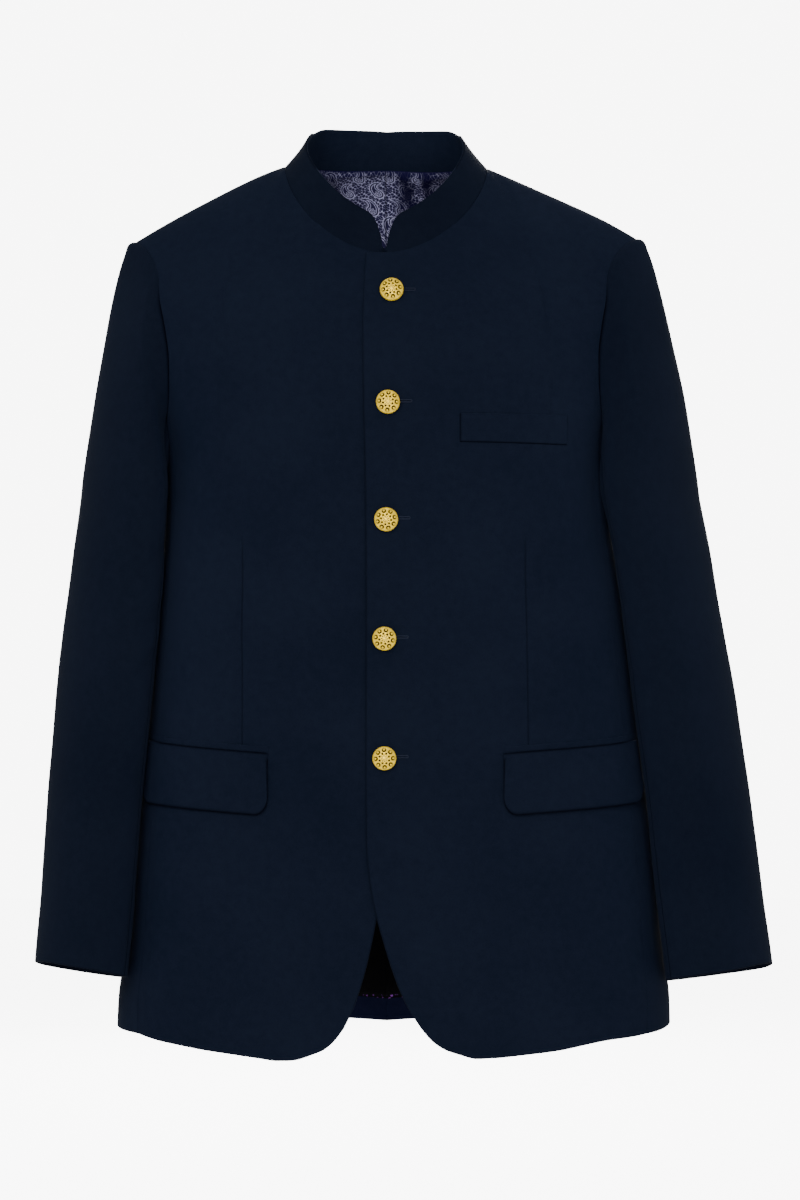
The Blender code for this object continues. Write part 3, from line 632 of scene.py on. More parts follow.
def back_places(half, cell=CELL):
    """Grid of places of a back, from the centre seam to the side seam and from the hem up."""
    seam_top = half.armhole(BACK_SEAM_TURN)
    seam_foot = half.at_y(BACK_SEAM_HEM_Y, SIDE_HEM_BACK)
    u = back_shares(cell)
    v = stretches(cell, {"seam": SEAM_SHARE, "back armhole": 1 - SEAM_SHARE})
    neck = back_neck(half, within(u, 0.0, BACK_NECK_SHARE))
    ridge = shoulder_places(half, within(u, BACK_NECK_SHARE, 1 - BACK_NECK_SHARE), True)
    top = np.where((u <= BACK_NECK_SHARE)[:, None], neck, ridge)
    bottom = hem_places(half, (pi / 2, seam_foot[0]), (BACK_HEM, SIDE_HEM_BACK), u)
    start = along([bottom[0], neck[0]], v)
    lower = along([seam_foot, seam_top], within(v, 0.0, SEAM_SHARE))
    turns = BACK_SEAM_TURN + (2 * pi - BACK_SEAM_TURN) * within(v, SEAM_SHARE, 1 - SEAM_SHARE)
    end = np.where((v <= SEAM_SHARE)[:, None], lower, half.armhole(turns, behind=True))
    return coons(bottom, top, start, end, u, v)


def side_places(half):
    """Grid of places of the panel under the arm, from front to back and from the hem up."""
    front_foot = half.at_y(FRONT_SEAM_HEM_Y, SIDE_HEM_FRONT)
    back_foot = half.at_y(BACK_SEAM_HEM_Y, SIDE_HEM_BACK)
    u, v = fractions(LENGTH["side"], CELL), fractions(LENGTH["seam"], CELL)
    top = half.armhole(FRONT_SEAM_TURN + (BACK_SEAM_TURN - FRONT_SEAM_TURN) * u)
    levels = (SIDE_HEM_FRONT, SIDE_HEM_BACK)
    bottom = hem_places(half, (front_foot[0], back_foot[0]), levels, u, SIDE_HEM_RISE[half.side])
    start = along([front_foot, top[0]], v)
    end = along([back_foot, top[-1]], v)
    return coons(bottom, top, start, end, u, v)


def under_step(points):
    """Moves the front that lies beneath in, where the other front covers it."""
    points[..., 1] += UNDER_STEP * rise(-points[..., 0], UNDER_FROM, UNDER_TO)
    return points


def grid_normals(grid, outward):
    """Outward directions of a grid; outward is 1 or -1 for its handedness."""
    return unit(np.cross(np.gradient(grid, axis=1), np.gradient(grid, axis=0)) * outward)


def edge_distances(grid):
    """Distances along the cloth from its first and last column and first and last row."""
    across = np.linalg.norm(np.diff(grid, axis=1), axis=2)
    down = np.linalg.norm(np.diff(grid, axis=0), axis=2)
    first = np.concatenate([np.zeros((grid.shape[0], 1)), np.cumsum(across, axis=1)], axis=1)
    below = np.concatenate([np.zeros((1, grid.shape[1])), np.cumsum(down, axis=0)], axis=0)
    return first, first[:, -1:] - first, below, below[-1:] - below


def rounding(distance, radius):
    """How far a surface sinks towards the middle of the wall near its rounded edge."""
    inside = np.clip(radius - distance, 0.0, radius)
    return radius - np.sqrt(np.maximum(radius ** 2 - inside ** 2, 0.0))


# Soft forms in the cloth, each along a line seen from the front or back: a ridge is
# above the cloth and a trough below it
CREASE_COLUMNS = "x0 z0 x1 z1 width height"

# How far a crease bends, in its widths, its width from start to end, and the shares of its
# length over which it comes and goes
CREASE_BEND = 0.18
CREASE_WIDTHS = (0.75, 1.20)
CREASE_START = (-0.15, 0.30)
CREASE_END = (1.15, 0.70)


def creases(points, rows):
    """Height of soft ridges and troughs that fade out at both ends."""
    height = np.zeros(points.shape[:-1])
    x, z = points[..., 0], points[..., 2]
    for index, row in enumerate(rows):
        run_x, run_z = row.x1 - row.x0, row.z1 - row.z0
        length = sqrt(run_x ** 2 + run_z ** 2)
        t = ((x - row.x0) * run_x + (z - row.z0) * run_z) / length ** 2
        bend = CREASE_BEND * row.width * np.sin(5.0 * t + 1.7 * index)
        off = ((x - row.x0) * run_z - (z - row.z0) * run_x) / length + bend
        width = row.width * np.interp(t, (0, 1), CREASE_WIDTHS)
        ends = rise(t, *CREASE_START) * rise(t, *CREASE_END)
        height += row.height * bell(off, width) * ends
    return height


# How uneven each kind of piece is
UNEVEN = {"front": 0.0005, "side": 0.0006, "back": 0.0005, "sleeve": 0.0005, "flap": 0.0003}


def unevenness(points, phase, amount):
    """Slow swelling and sinking, so that no panel is a perfect surface."""
    x, y, z = points[..., 0], points[..., 1], points[..., 2]
    swell = np.sin(31 * x + 17 * z + phase) + 0.8 * np.sin(47 * z - 23 * x + 2.1 * phase)
    swell = swell + 0.6 * np.sin(71 * x - 29 * z + 38 * y + 3.3 * phase)
    swell = swell + 0.5 * np.sin(90 * z + 41 * y + 1.3 * phase)
    return amount * swell / 2


FRONT_CREASES = {
    +1: table(CREASE_COLUMNS, [
        (0.196, -0.205, 0.172, -0.330, 0.012, -0.0018),
        (0.180, -0.190, 0.150, -0.290, 0.013, 0.0009),
        (0.030, -0.335, 0.150, -0.372, 0.013, -0.0008),
        (0.035, -0.365, 0.165, -0.415, 0.014, 0.0007),
        (0.020, -0.425, 0.110, -0.455, 0.014, -0.0006),
        (0.045, -0.560, 0.060, -0.760, 0.024, 0.0016),
        (0.115, -0.575, 0.135, -0.770, 0.022, -0.0014),
        (0.175, -0.560, 0.195, -0.770, 0.020, 0.0012),
        (0.060, -0.110, 0.150, -0.170, 0.022, -0.0008),
        (0.110, -0.040, 0.165, -0.150, 0.018, 0.0008),
    ]),
    -1: table(CREASE_COLUMNS, [
        (-0.196, -0.205, -0.170, -0.320, 0.012, -0.0018),
        (-0.178, -0.190, -0.146, -0.280, 0.013, 0.0009),
        (-0.035, -0.325, -0.145, -0.360, 0.013, -0.0008),
        (-0.040, -0.375, -0.160, -0.405, 0.014, 0.0007),
        (-0.030, -0.440, -0.120, -0.470, 0.014, -0.0006),
        (-0.055, -0.560, -0.070, -0.760, 0.024, 0.0015),
        (-0.120, -0.570, -0.135, -0.770, 0.022, -0.0014),
        (-0.178, -0.560, -0.196, -0.770, 0.020, 0.0012),
        (-0.070, -0.100, -0.150, -0.180, 0.022, -0.0008),
        (-0.105, -0.040, -0.165, -0.140, 0.018, 0.0008),
    ]),
}
BACK_CREASES = table(CREASE_COLUMNS, [
    (-0.075, -0.045, 0.075, -0.050, 0.010, -0.0014),
    (-0.090, -0.066, 0.085, -0.070, 0.011, 0.0010),
    (0.185, -0.200, 0.120, -0.330, 0.014, -0.0016),
    (-0.186, -0.205, -0.125, -0.320, 0.014, -0.0016),
    (0.165, -0.170, 0.110, -0.280, 0.014, 0.0010),
    (-0.168, -0.165, -0.108, -0.290, 0.014, 0.0010),
    (0.015, -0.385, 0.165, -0.425, 0.013, -0.0012),
    (-0.165, -0.400, -0.015, -0.420, 0.013, -0.0012),
    (-0.170, -0.445, -0.030, -0.450, 0.014, 0.0009),
    (0.025, -0.452, 0.170, -0.462, 0.014, 0.0009),
    (0.070, -0.560, 0.080, -0.760, 0.024, 0.0016),
    (-0.080, -0.560, -0.088, -0.760, 0.024, 0.0016),
    (0.150, -0.560, 0.165, -0.760, 0.022, -0.0014),
    (-0.150, -0.570, -0.165, -0.760, 0.022, -0.0014),
])


def make_object(name, points, faces, uv=None, attribute=None):
    """New object in the scene, with the places of its points on the cloth and a named
    value at each point, where given."""
    mesh = bpy.data.meshes.new(name)
    mesh.from_pydata(points.reshape(-1, 3).tolist(), [], faces)
    if uv is not None:
        layer = mesh.uv_layers.new(name="cloth")
        corners = np.empty(len(mesh.loops), dtype=np.int32)
        mesh.loops.foreach_get("vertex_index", corners)
        layer.data.foreach_set("uv", uv.reshape(-1, 2)[corners].astype(np.float32).ravel())
    if attribute is not None:
        data = mesh.attributes.new(attribute[0], "FLOAT", "POINT")
        data.data.foreach_set("value", attribute[1].astype(np.float32).ravel())
    mesh.validate()
    mesh.shade_smooth()
    piece = bpy.data.objects.new(name, mesh)
    bpy.context.scene.collection.objects.link(piece)
    return piece


def grid_faces(index, flip):
    """Four-sided faces between the rows and columns of a grid of point numbers."""
    quads = np.stack([index[:-1, :-1], index[:-1, 1:], index[1:, 1:], index[1:, :-1]], axis=-1)
    quads = quads.reshape(-1, 4)
    return (quads[:, ::-1] if flip else quads).tolist()


def meet(grid):
    """Lengthens a panel a little at its edges, so that seams close."""
    grid = grid.copy()
    for edge, inside in ((0, 1), (-1, -2)):
        grid[edge] += SEAM_MEET * unit(grid[edge] - grid[inside])
        grid[:, edge] += SEAM_MEET * unit(grid[:, edge] - grid[:, inside])
    return grid


# Seams: how dark the painted shade in them is and how far it reaches, how much of both
# their rounding and their shade pressing takes away, and how wide a joint is pressed
SEAM_SHADE = 0.45
SEAM_SHADE_REACH = 0.0010
PRESS_ROUNDING = 0.75
PRESS_SHADE = 0.8
PRESS_REACH = 0.006
RELIEF_FADE = 0.012

# Where edges are pressed flat: beyond these distances from the middle and above these
# levels, and in front of this depth, nearer the middle than this and above these levels
PRESS_SIDE = (0.125, 0.155)
PRESS_SIDE_LEVELS = (-0.125, -0.095)
PRESS_FRONT_Y = -0.02
PRESS_FRONT_X = 0.06
PRESS_FRONT_LEVELS = (-0.20, -0.12)


def fading(relief, *distances):
    """Relief that fades out towards the edges at these distances."""
    return relief * smooth_step(least(*distances) / RELIEF_FADE)


def pressed(points):
    """1 where the seams and edges are pressed flat, at the top of the armhole and at the
    top of the front edge, and 0 elsewhere."""
    across, y, level = (points[..., axis] for axis in range(3))
    outer = rise(np.abs(across), *PRESS_SIDE) * rise(level, *PRESS_SIDE_LEVELS)
    front = (y < PRESS_FRONT_Y) & (np.abs(across) < PRESS_FRONT_X)
    return np.maximum(outer, front * rise(level, *PRESS_FRONT_LEVELS))


def seam_shade(*distances):
    """Shade in the seams, from the distances to them."""
    return SEAM_SHADE * bell(least(*distances), SEAM_SHADE_REACH)


def wall(name, grid, normals, thickness, relief=0.0, shade=None, shade_inside=False, flat=0.0):
    """Closed wall of cloth with rounded edges. Its outer face is the grid, raised by
    the relief, and its edges close at the middle of the wall. The shade, from 0 to 1,
    is painted shade that darkens the cloth's colour in its seams and at its edges, in place
    of their shadow. Where flat is 1, the edges are pressed flat."""
    shape = grid.shape[:2]
    grid = meet(grid)
    distances = edge_distances(grid)
    press = np.maximum(pressed(grid), flat)
    sink = rounding(least(*distances), thickness / 2) * (1 - PRESS_ROUNDING * press)
    outer = grid + normals * (np.asarray(relief) - sink)[..., None]
    inner = grid + normals * (np.asarray(relief) - thickness + sink)[..., None]
    rim = np.ones(shape, bool)
    rim[1:-1, 1:-1] = False
    inner[rim] = outer[rim]
    numbers = np.arange(rim.size).reshape(shape)
    middle = (shape[0] // 2, shape[1] // 2)
    beside, above = grid[middle[0], middle[1] + 1], grid[middle[0] + 1, middle[1]]
    facing = np.cross(beside - grid[middle], above - grid[middle])
    flip = float(np.dot(facing, normals[middle])) < 0
    faces = grid_faces(numbers, flip) + grid_faces(np.where(rim, numbers, numbers + rim.size), not flip)
    points = np.concatenate([outer.reshape(-1, 3), inner.reshape(-1, 3)])
    uv = np.stack([distances[0], distances[2]], axis=-1).reshape(-1, 2)
    shades = seam_shade(*distances) if shade is None else shade
    shades = (shades * (1 - PRESS_SHADE * press)).ravel()
    shades = np.concatenate([shades, shades * shade_inside])
    piece = make_object(name, points, faces, np.concatenate([uv, uv]), ("shade", shades))
    clean_loose(piece)
    return piece


def clean_loose(piece):
    """Drops points that no face uses."""
    mesh = bmesh.new()
    mesh.from_mesh(piece.data)
    loose = [vert for vert in mesh.verts if not vert.link_faces]
    bmesh.ops.delete(mesh, geom=loose, context="VERTS")
    mesh.to_mesh(piece.data)
    mesh.free()


def face_inside(piece, material):
    """Gives the inner faces of a wall a cloth of their own, here a copy of the cloth painted lighter in
    place of light on the inside.
    """
    piece.data.materials.append(material)
    count = len(piece.data.polygons)
    piece.data.polygons.foreach_set("material_index", (np.arange(count) >= count // 2).astype(np.int32))


def settle(piece, material, slot, *nodes):
    """Puts a finished piece on the frame, in place of the solids that it makes again."""
    piece.data.materials.append(material)
    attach(piece, "root")
    if nodes:
        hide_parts(*nodes)


def add_cloth(name, points, normals, material, relief=0.0, shade=None, kind="cloth", slot="cloth",
              has_allowance=False, **finish):
    """A finished piece of cloth in place of the solid of that name."""
    thickness = np.full(points.shape[:2], THICKNESS[kind])
    if has_allowance:
        thickness[:len(ALLOWANCE)] = [[row.thickness] for row in ALLOWANCE]
    piece = wall("cloth_" + name, points, normals, thickness, relief, shade, **finish)
    settle(piece, material, slot, name)
    return piece


class Term:
    """Output of a shader node. Sums and products of terms make math nodes."""

    def __init__(self, nodes, socket):
        self.nodes, self.socket = nodes, socket

    def __add__(self, other):
        return self.nodes.math("ADD", self, other)

    def __sub__(self, other):
        return self.nodes.math("SUBTRACT", self, other)

    def __rsub__(self, other):
        return self.nodes.math("SUBTRACT", other, self)

    def __mul__(self, other):
        return self.nodes.math("MULTIPLY", self, other)

    def __truediv__(self, other):
        return self.nodes.math("DIVIDE", self, other)

    def __abs__(self):
        return self.nodes.math("ABSOLUTE", self)


class Nodes:
    """The nodes of a material."""

    def __init__(self, name):
        self.material = bpy.data.materials.new(name)
        self.material.use_nodes = True
        self.tree = self.material.node_tree

    def feed(self, node, inputs):
        """Sets inputs, given by name or number, to numbers and colours or links them to terms."""
        for name, value in inputs.items():
            if isinstance(value, Term):
                self.tree.links.new(value.socket, node.inputs[name])
            else:
                node.inputs[name].default_value = value

    def surface(self, inputs):
        """Feeds the material's shader and gives the finished material."""
        self.feed(self.tree.nodes["Principled BSDF"], inputs)
        return self.material

    def add(self, kind, inputs, output=0):
        """A new node's output, by name or number."""
        node = self.tree.nodes.new("ShaderNode" + kind)
        self.feed(node, inputs)
        return Term(self, node.outputs[output])

    def math(self, operation, *values):
        """Result of a math node."""
        term = self.add("Math", dict(enumerate(values)))
        term.socket.node.operation = operation
        return term

    def largest(self, *terms):
        """The largest of some terms."""
        return reduce(lambda first, second: self.math("MAXIMUM", first, second), terms)

    def length(self, x, y):
        """Distance of a place from the origin."""
        return self.math("SQRT", x * x + y * y)

    def limited(self, term):
        """The term kept between 0 and 1."""
        return self.math("MINIMUM", self.math("MAXIMUM", term, 0.0), 1.0)

    def mix(self, share, first, second):
        """Colour between two, at a share of the way."""
        node = self.tree.nodes.new("ShaderNodeMix")
        node.data_type = "RGBA"
        self.feed(node, {0: share, 6: first, 7: second})
        return Term(self, node.outputs[2])

    def band(self, value, low, high):
        """1 above high and 0 below low, with a soft step between."""
        term = self.add("MapRange", {"Value": value, "From Min": low, "From Max": high})
        term.socket.node.interpolation_type = "SMOOTHSTEP"
        return term

    def below(self, value, full, none):
        """1 below full and 0 above none, with a soft step between."""
        return 1.0 - self.band(value, full, none)

    def split(self, vector):
        """The three parts of a place."""
        return [Term(self, part) for part in self.add("SeparateXYZ", {0: vector}).socket.node.outputs]

    def cloth_place(self):
        """Places across and down the piece's own cloth."""
        term = self.add("UVMap", {})
        term.socket.node.uv_map = "cloth"
        return self.split(term)[:2]

    def place(self):
        """Place in the object's own axes."""
        return self.add("TexCoord", {}, "Object")

    def noise(self, scale, detail=2.0, roughness=0.5):
        """Grain that is fixed to the object."""
        inputs = {"Vector": self.place(), "Scale": scale, "Detail": detail, "Roughness": roughness}
        return self.add("TexNoise", inputs)

    def attribute(self, name):
        """A piece's named value."""
        term = self.add("Attribute", {}, "Fac")
        term.socket.node.attribute_name = name
        return term

    def bump(self, height, distance, strength, **base):
        """Direction of a surface with a height added."""
        return self.add("Bump", {"Height": height, "Distance": distance, "Strength": strength, **base})


CLOTH_DARK = (0.0031, 0.0054, 0.0130)
CLOTH_LIGHT = (0.0062, 0.0094, 0.0198)
CLOTH_SHADOW = (0.0002, 0.0005, 0.0022, 1.0)
YARN = 0.00042
THREAD = (0.0105, 0.0135, 0.0260)


def opaque(colour, lift):
    """A colour made lighter or darker, with its fourth number."""
    return (*np.multiply(colour, lift), 1.0)


def cloth_material(name, lift=1.0):
    """Fine matte suiting: a close twill with heathered yarns."""
    nodes = Nodes(name)
    u, v = nodes.cloth_place()
    warp = nodes.math("SINE", (u + v) * (pi / YARN))
    weft = nodes.math("SINE", (u - v * 0.4) * (2 * pi / YARN))
    weave = warp * 0.7 + weft * 0.3
    grain, slub, slow = nodes.noise(900.0, 3.0, 0.6), nodes.noise(160.0), nodes.noise(9.0)
    share = nodes.band(grain * 0.45 + slub * 0.25 + slow * 0.35 + weave * 0.05, 0.30, 0.75)
    # lift gives a copy of the cloth painted lighter or darker, in place of light and shade
    woven = nodes.mix(share, opaque(CLOTH_DARK, lift), opaque(CLOTH_LIGHT, lift))
    soft = nodes.bump(grain * 0.6 + slub, 0.00025, 0.35)
    # The shade attribute mixes the cloth towards CLOTH_SHADOW: painted shade in seams, darts and along the
    # edges of flaps and welts
    return nodes.surface({
        "Base Color": nodes.mix(nodes.attribute("shade"), woven, CLOTH_SHADOW),
        "Roughness": slub * 0.12 + 0.78,
        "Normal": nodes.bump(weave, 0.00006, 0.5, Normal=soft),
        "Specular IOR Level": 0.02,
        "Diffuse Roughness": 1.0,
        "Sheen Weight": 0.006,
        "Sheen Roughness": 0.45,
        "Sheen Tint": (0.55, 0.66, 0.90, 1.0),
    })


def thread_material():
    """Silk twist of the buttonholes."""
    nodes = Nodes("navy_thread")
    grain = nodes.noise(700.0, 3.0, 0.6)
    return nodes.surface({
        "Base Color": nodes.mix(grain, opaque(THREAD, 0.75), opaque(THREAD, 1.25)),
        "Roughness": 0.8,
        "Normal": nodes.bump(grain, 0.0001, 0.4),
        "Specular IOR Level": 0.05,
    })


left, right = TorsoSide(+1), TorsoSide(-1)
halves = (left, right)
SIDE_NAMES = {+1: "left", -1: "right"}
cloth = cloth_material("navy_suiting")
# Copies of the cloth painted darker for the sleeves and collar, and lighter for the back's inside, stand in
# for shade and light
sleeve_cloth_painted_darker = cloth_material("navy_suiting_sleeves_painted_darker", 0.82)
collar_cloth_painted_darker = cloth_material("navy_suiting_collar_painted_darker", 0.74)
hem_facing_painted_lighter = cloth_material("navy_suiting_facing_painted_lighter", (1.55, 1.25, 1.85))


def panel_points(half, places, out=0.0):
    """Points of places, a little way out from the cloth, and their outward directions."""
    points = half.point(places[..., 0], places[..., 1])
    normals = half.normal(places[..., 0], places[..., 1])
    return points + normals * out, normals


# The dart: levels between which it begins and ends, depth and reach of its line and of the
# hollow round it, and its shade. Then depth and reach of the hollow round each button
DART_TOP = (-0.318, -0.330)
DART_FOOT = (-0.507, -0.503)
DART_LINE_DEPTH = (0.0007, 0.0007)
DART_HOLLOW_DEPTH = (0.0010, 0.012)
DART_SHADE = 0.38
BUTTON_PULL = (0.0005, 0.012)


def dart(half, points):
    """Relief of the dart's sharp line, with the soft hollow on both sides, and its shade."""
    level = points[..., 2]
    length = rise(level, *DART_TOP) * rise(level, *DART_FOOT)
    off = np.abs(np.abs(points[..., 0]) - DART_LINE[half.side](level))
    depth = peak(off, *DART_LINE_DEPTH) + peak(off, *DART_HOLLOW_DEPTH)
    return -length * depth, length * peak(off, DART_SHADE, DART_LINE_DEPTH[1])


def button_pull(points):
    """Cloth sinks a little round each button's shank."""
    away = [np.hypot(points[..., 0] - row.across, points[..., 2] - row.level) for row in BUTTONS]
    return -sum(peak(distance, *BUTTON_PULL) for distance in away)


def add_front(half):
    """One front, with its dart and soft creases."""
    name = "front_" + SIDE_NAMES[half.side]
    points, normals = panel_points(half, front_places(half))
    dart_relief, dart_shade = dart(half, points)
    relief = creases(points, FRONT_CREASES[half.side]) + dart_relief
    relief = relief + unevenness(points, half.side, UNEVEN["front"])
    first, last, _, above = edge_distances(points)
    if half.side > 0:
        relief = relief + button_pull(points)
    else:
        points = under_step(points)
    relief = fading(relief, last, above)
    shade = np.maximum(dart_shade, seam_shade(first, last, above))
    add_cloth(name, points, normals, cloth, relief, shade, flat=bell(last, PRESS_REACH))


def add_side_panel(half):
    """The panel under one arm."""
    name = "side_" + SIDE_NAMES[half.side]
    points, normals = panel_points(half, side_places(half))
    first, last, _, above = edge_distances(points)
    relief = unevenness(points, 2 * half.side, UNEVEN["side"])
    relief = fading(relief, first, last, above)
    add_cloth(name, points, normals, cloth, relief, flat=bell(first, PRESS_REACH))


def add_back(half):
    """One half of the back, with the facing of its hem inside; its inner faces take a copy of the cloth
    painted lighter in place of light.
    """
    name = "back_" + SIDE_NAMES[half.side]
    points, normals = panel_points(half, back_places(half))
    first, last, _, above = edge_distances(points)
    relief = creases(points, BACK_CREASES) + unevenness(points, 3 * half.side, UNEVEN["back"])
    relief = fading(relief, first, last, above)
    face_inside(add_cloth(name, points, normals, cloth, relief), hem_facing_painted_lighter)


for half in halves:
    add_front(half)
    add_side_panel(half)
    add_back(half)


# Levels between which the cuff's outer corner begins to turn up
CUFF_LEVELS = (-0.58, -0.70)


def sleeve_ring(side, level, turn):
    """Points on the sleeve's ring at a level: an ellipse with its front turned in."""
    name = SIDE_NAMES[side]
    inner, outer, middle_y, depth, lift = (column(SLEEVE, column_name)(level) for column_name in (
        name + "_inner", name + "_outer", "middle_y", "half_depth", "lift"))
    swing = CUFF_SWING * lift / SLEEVE[-1].lift
    corner = CUFF_CORNER[side] * np.maximum(np.cos(turn), 0.0) ** 4 * rise(level, *CUFF_LEVELS)
    reach = (outer - inner) / 2
    width = np.sqrt(reach ** 2 - (depth * sin(SLEEVE_TURN)) ** 2) / cos(SLEEVE_TURN)
    out, forward = width * np.cos(turn), depth * np.sin(turn)
    across = (inner + outer) / 2 + out * cos(SLEEVE_TURN) - forward * sin(SLEEVE_TURN)
    y = middle_y - out * sin(SLEEVE_TURN) - forward * cos(SLEEVE_TURN)
    level = level + lift * np.cos(turn) + swing * np.sin(turn) + corner
    return np.stack([side * across, y, level], axis=-1)


# Seam allowance: how far each of its rows lies under the body's cloth and back from the
# seam, and the wall's thickness there
ALLOWANCE = table("under back thickness", [
    (0.0029, 0.0080, 0.0007),
    (0.0027, 0.0014, 0.0007),
    (0.0016, 0.0002, 0.0009),
])


def allowance(line, normals, centre):
    """Rows of a seam allowance under the body's cloth along a line, and their directions."""
    tangent = unit(np.gradient(line, axis=0))
    away = unit(np.cross(normals, tangent))
    away *= np.sign(np.sum(away * (line - centre), axis=1, keepdims=True))
    rows = [line - normals * row.under + away * row.back for row in ALLOWANCE]
    directions = [normals, normals - away * 0.6, normals * 0.5 - away]
    return np.array(rows), unit(np.array(directions))


def armhole_allowance(half, turns):
    """The sleeve's seam allowance inside the armhole."""
    whole = half.armhole(np.linspace(0, 2 * pi, 60))
    centre = half.point(whole[:, 0], whole[:, 1]).mean(axis=0)
    places = half.armhole(turns % (2 * pi))
    line, normals = panel_points(half, places)
    return allowance(line, normals, centre)


def sleeve_grid(half, turns, caps, arms):
    """Points of a sleeve from the armhole to the cuff, one row for each share."""
    armhole = half.armhole(turns % (2 * pi))
    start = half.point(armhole[:, 0], armhole[:, 1])
    end = sleeve_ring(half.side, SLEEVE[0].level, turns)
    low = (1 - np.cos(turns)) / 2
    rise = HEAD_RISE * (1 - low) - HEAD_FALL * low * low
    leave = np.stack([np.full(len(turns), float(half.side)), -HEAD_SPREAD * np.sin(turns), rise], axis=-1)
    reach = HEAD_REACH["middle"] + HEAD_REACH["top"] * np.cos(turns)
    leave = unit(leave) * (reach + HEAD_REACH["sides"] * np.sin(turns) ** 2)[:, None]
    run = CAP_RUN["top"] + (CAP_RUN["under"] - CAP_RUN["top"]) * low
    arrive = np.array([-CAP_SLANT * half.side, 0.0, 1.0]) * run[:, None]
    t = caps[:, None, None]
    cap = (1 - t) ** 3 * start + 3 * (1 - t) ** 2 * t * (start + leave)
    cap = cap + 3 * (1 - t) * t * t * (end + arrive) + t ** 3 * end
    fall = SLEEVE[-1].level + CUFF_RAISE[half.side] - SLEEVE[0].level
    levels = SLEEVE[0].level + fall * arms[1:]
    arm = sleeve_ring(half.side, levels[:, None], turns[None, :])
    return np.concatenate([cap, arm])


# Folds across the sleeve: their level, the turn of the deepest place and their size
SLEEVE_FOLDS = table("level turn slant reach width height", [
    (-0.395, 1.75, 0.018, 1.00, 0.010, -0.0022),
    (-0.418, 1.55, 0.022, 1.10, 0.011, 0.0016),
    (-0.440, 1.80, 0.016, 0.95, 0.010, -0.0019),
    (-0.468, 1.40, -0.014, 1.00, 0.012, 0.0012),
    (-0.330, 2.20, 0.030, 0.90, 0.013, -0.0014),
    (-0.560, 1.10, 0.020, 1.00, 0.016, -0.0010),
    (-0.610, 1.60, -0.018, 1.00, 0.016, 0.0010),
    (-0.405, 4.50, -0.020, 1.00, 0.014, 0.0012),
    (-0.450, 4.40, -0.016, 1.00, 0.014, -0.0012),
])


# Fullness of the sleeve at the armpit, and the roll and the hollow of its head: height, turn
# and its reach, and distance below the armhole's seam and its reach. The head's turns are
# taken from the shoulder's tip to both sides
FORM_COLUMNS = "height turn turn_reach below reach"
ARMPIT_FORMS = {
    +1: table(FORM_COLUMNS, [
        (0.0034, 3.0, 0.85, 0.011, 0.010),
        (0.0068, 2.5, 0.60, 0.022, 0.044),
    ]),
    -1: table(FORM_COLUMNS, [
        (0.0034, 3.0, 0.85, 0.011, 0.010),
        (0.0050, 2.5, 0.60, 0.008, 0.022),
        (-0.0020, 2.5, 0.60, 0.072, 0.030),
    ]),
}
HEAD_FORMS = table(FORM_COLUMNS, [
    (0.0013, 0.0, 0.55, 0.0065, 0.0050),
    (-0.0013, 1.7, 0.80, 0.0, 0.0022),
])

# Sway of the folds' levels, the upright folds' height, level and reach, and how far below
# the armhole they and the other folds begin
FOLD_SWAY = 0.006
UPRIGHT_HEIGHT = 0.0014
UPRIGHT_LEVEL = -0.26
UPRIGHT_REACH = 0.12
UPRIGHT_BEGIN = 0.03
FOLD_BEGIN = 0.02

# The sleeve's inner side, which lies close to the body and has no folds: its height, the
# turn of its middle, the shares between which it begins and the levels it begins at
INNER_HEIGHT = 0.0006
INNER_TURN = 0.35
INNER_SHARES = (0.35, 0.75)
INNER_LEVELS = (-0.50, -0.44)

# Distances from a sleeve's seams over which its relief fades out, and shade under its head:
# how dark at the tip, how much more at the sides, between which turns, and its reach
SLEEVE_FADE = (-0.0025, 0.0075)
HEAD_SHADE = 0.12
HEAD_SHADE_MORE = 0.80
HEAD_SHADE_TURNS = (0.80, 1.30)
HEAD_SHADE_REACH = 0.0017


def sleeve_relief(grid, turns, from_top, side):
    """Folds, fullness and the roll of the sleeve's head."""
    level = grid[..., 2]
    turn = np.broadcast_to(turns[None, :], level.shape) % (2 * pi)
    relief = np.zeros(level.shape)
    for index, fold in enumerate(SLEEVE_FOLDS):
        away = (turn - fold.turn + pi) % (2 * pi) - pi
        shifted = fold.level + FOLD_SWAY * side * sin(2.3 * index) + fold.slant * away
        relief += fold.height * bell(away, fold.reach) * bell(level - shifted, fold.width)
    upright = peak(level - UPRIGHT_LEVEL, UPRIGHT_HEIGHT, UPRIGHT_REACH) * np.cos(3 * turn + 0.6 * side)
    relief += upright * smooth_step(from_top / UPRIGHT_BEGIN) + unevenness(grid, 5 * side, UNEVEN["sleeve"])
    inner = rise(-np.cos(turn - INNER_TURN), *INNER_SHARES) * rise(level, *INNER_LEVELS)
    relief = (relief * (1 - inner) + INNER_HEIGHT * inner) * smooth_step(from_top / FOLD_BEGIN)
    for place, forms in ((turn, ARMPIT_FORMS[side]), (least(turn, 2 * pi - turn), HEAD_FORMS)):
        for form in forms:
            across = peak(place - form.turn, form.height, form.turn_reach)
            relief = relief + across * bell(from_top - form.below, form.reach)
    return relief


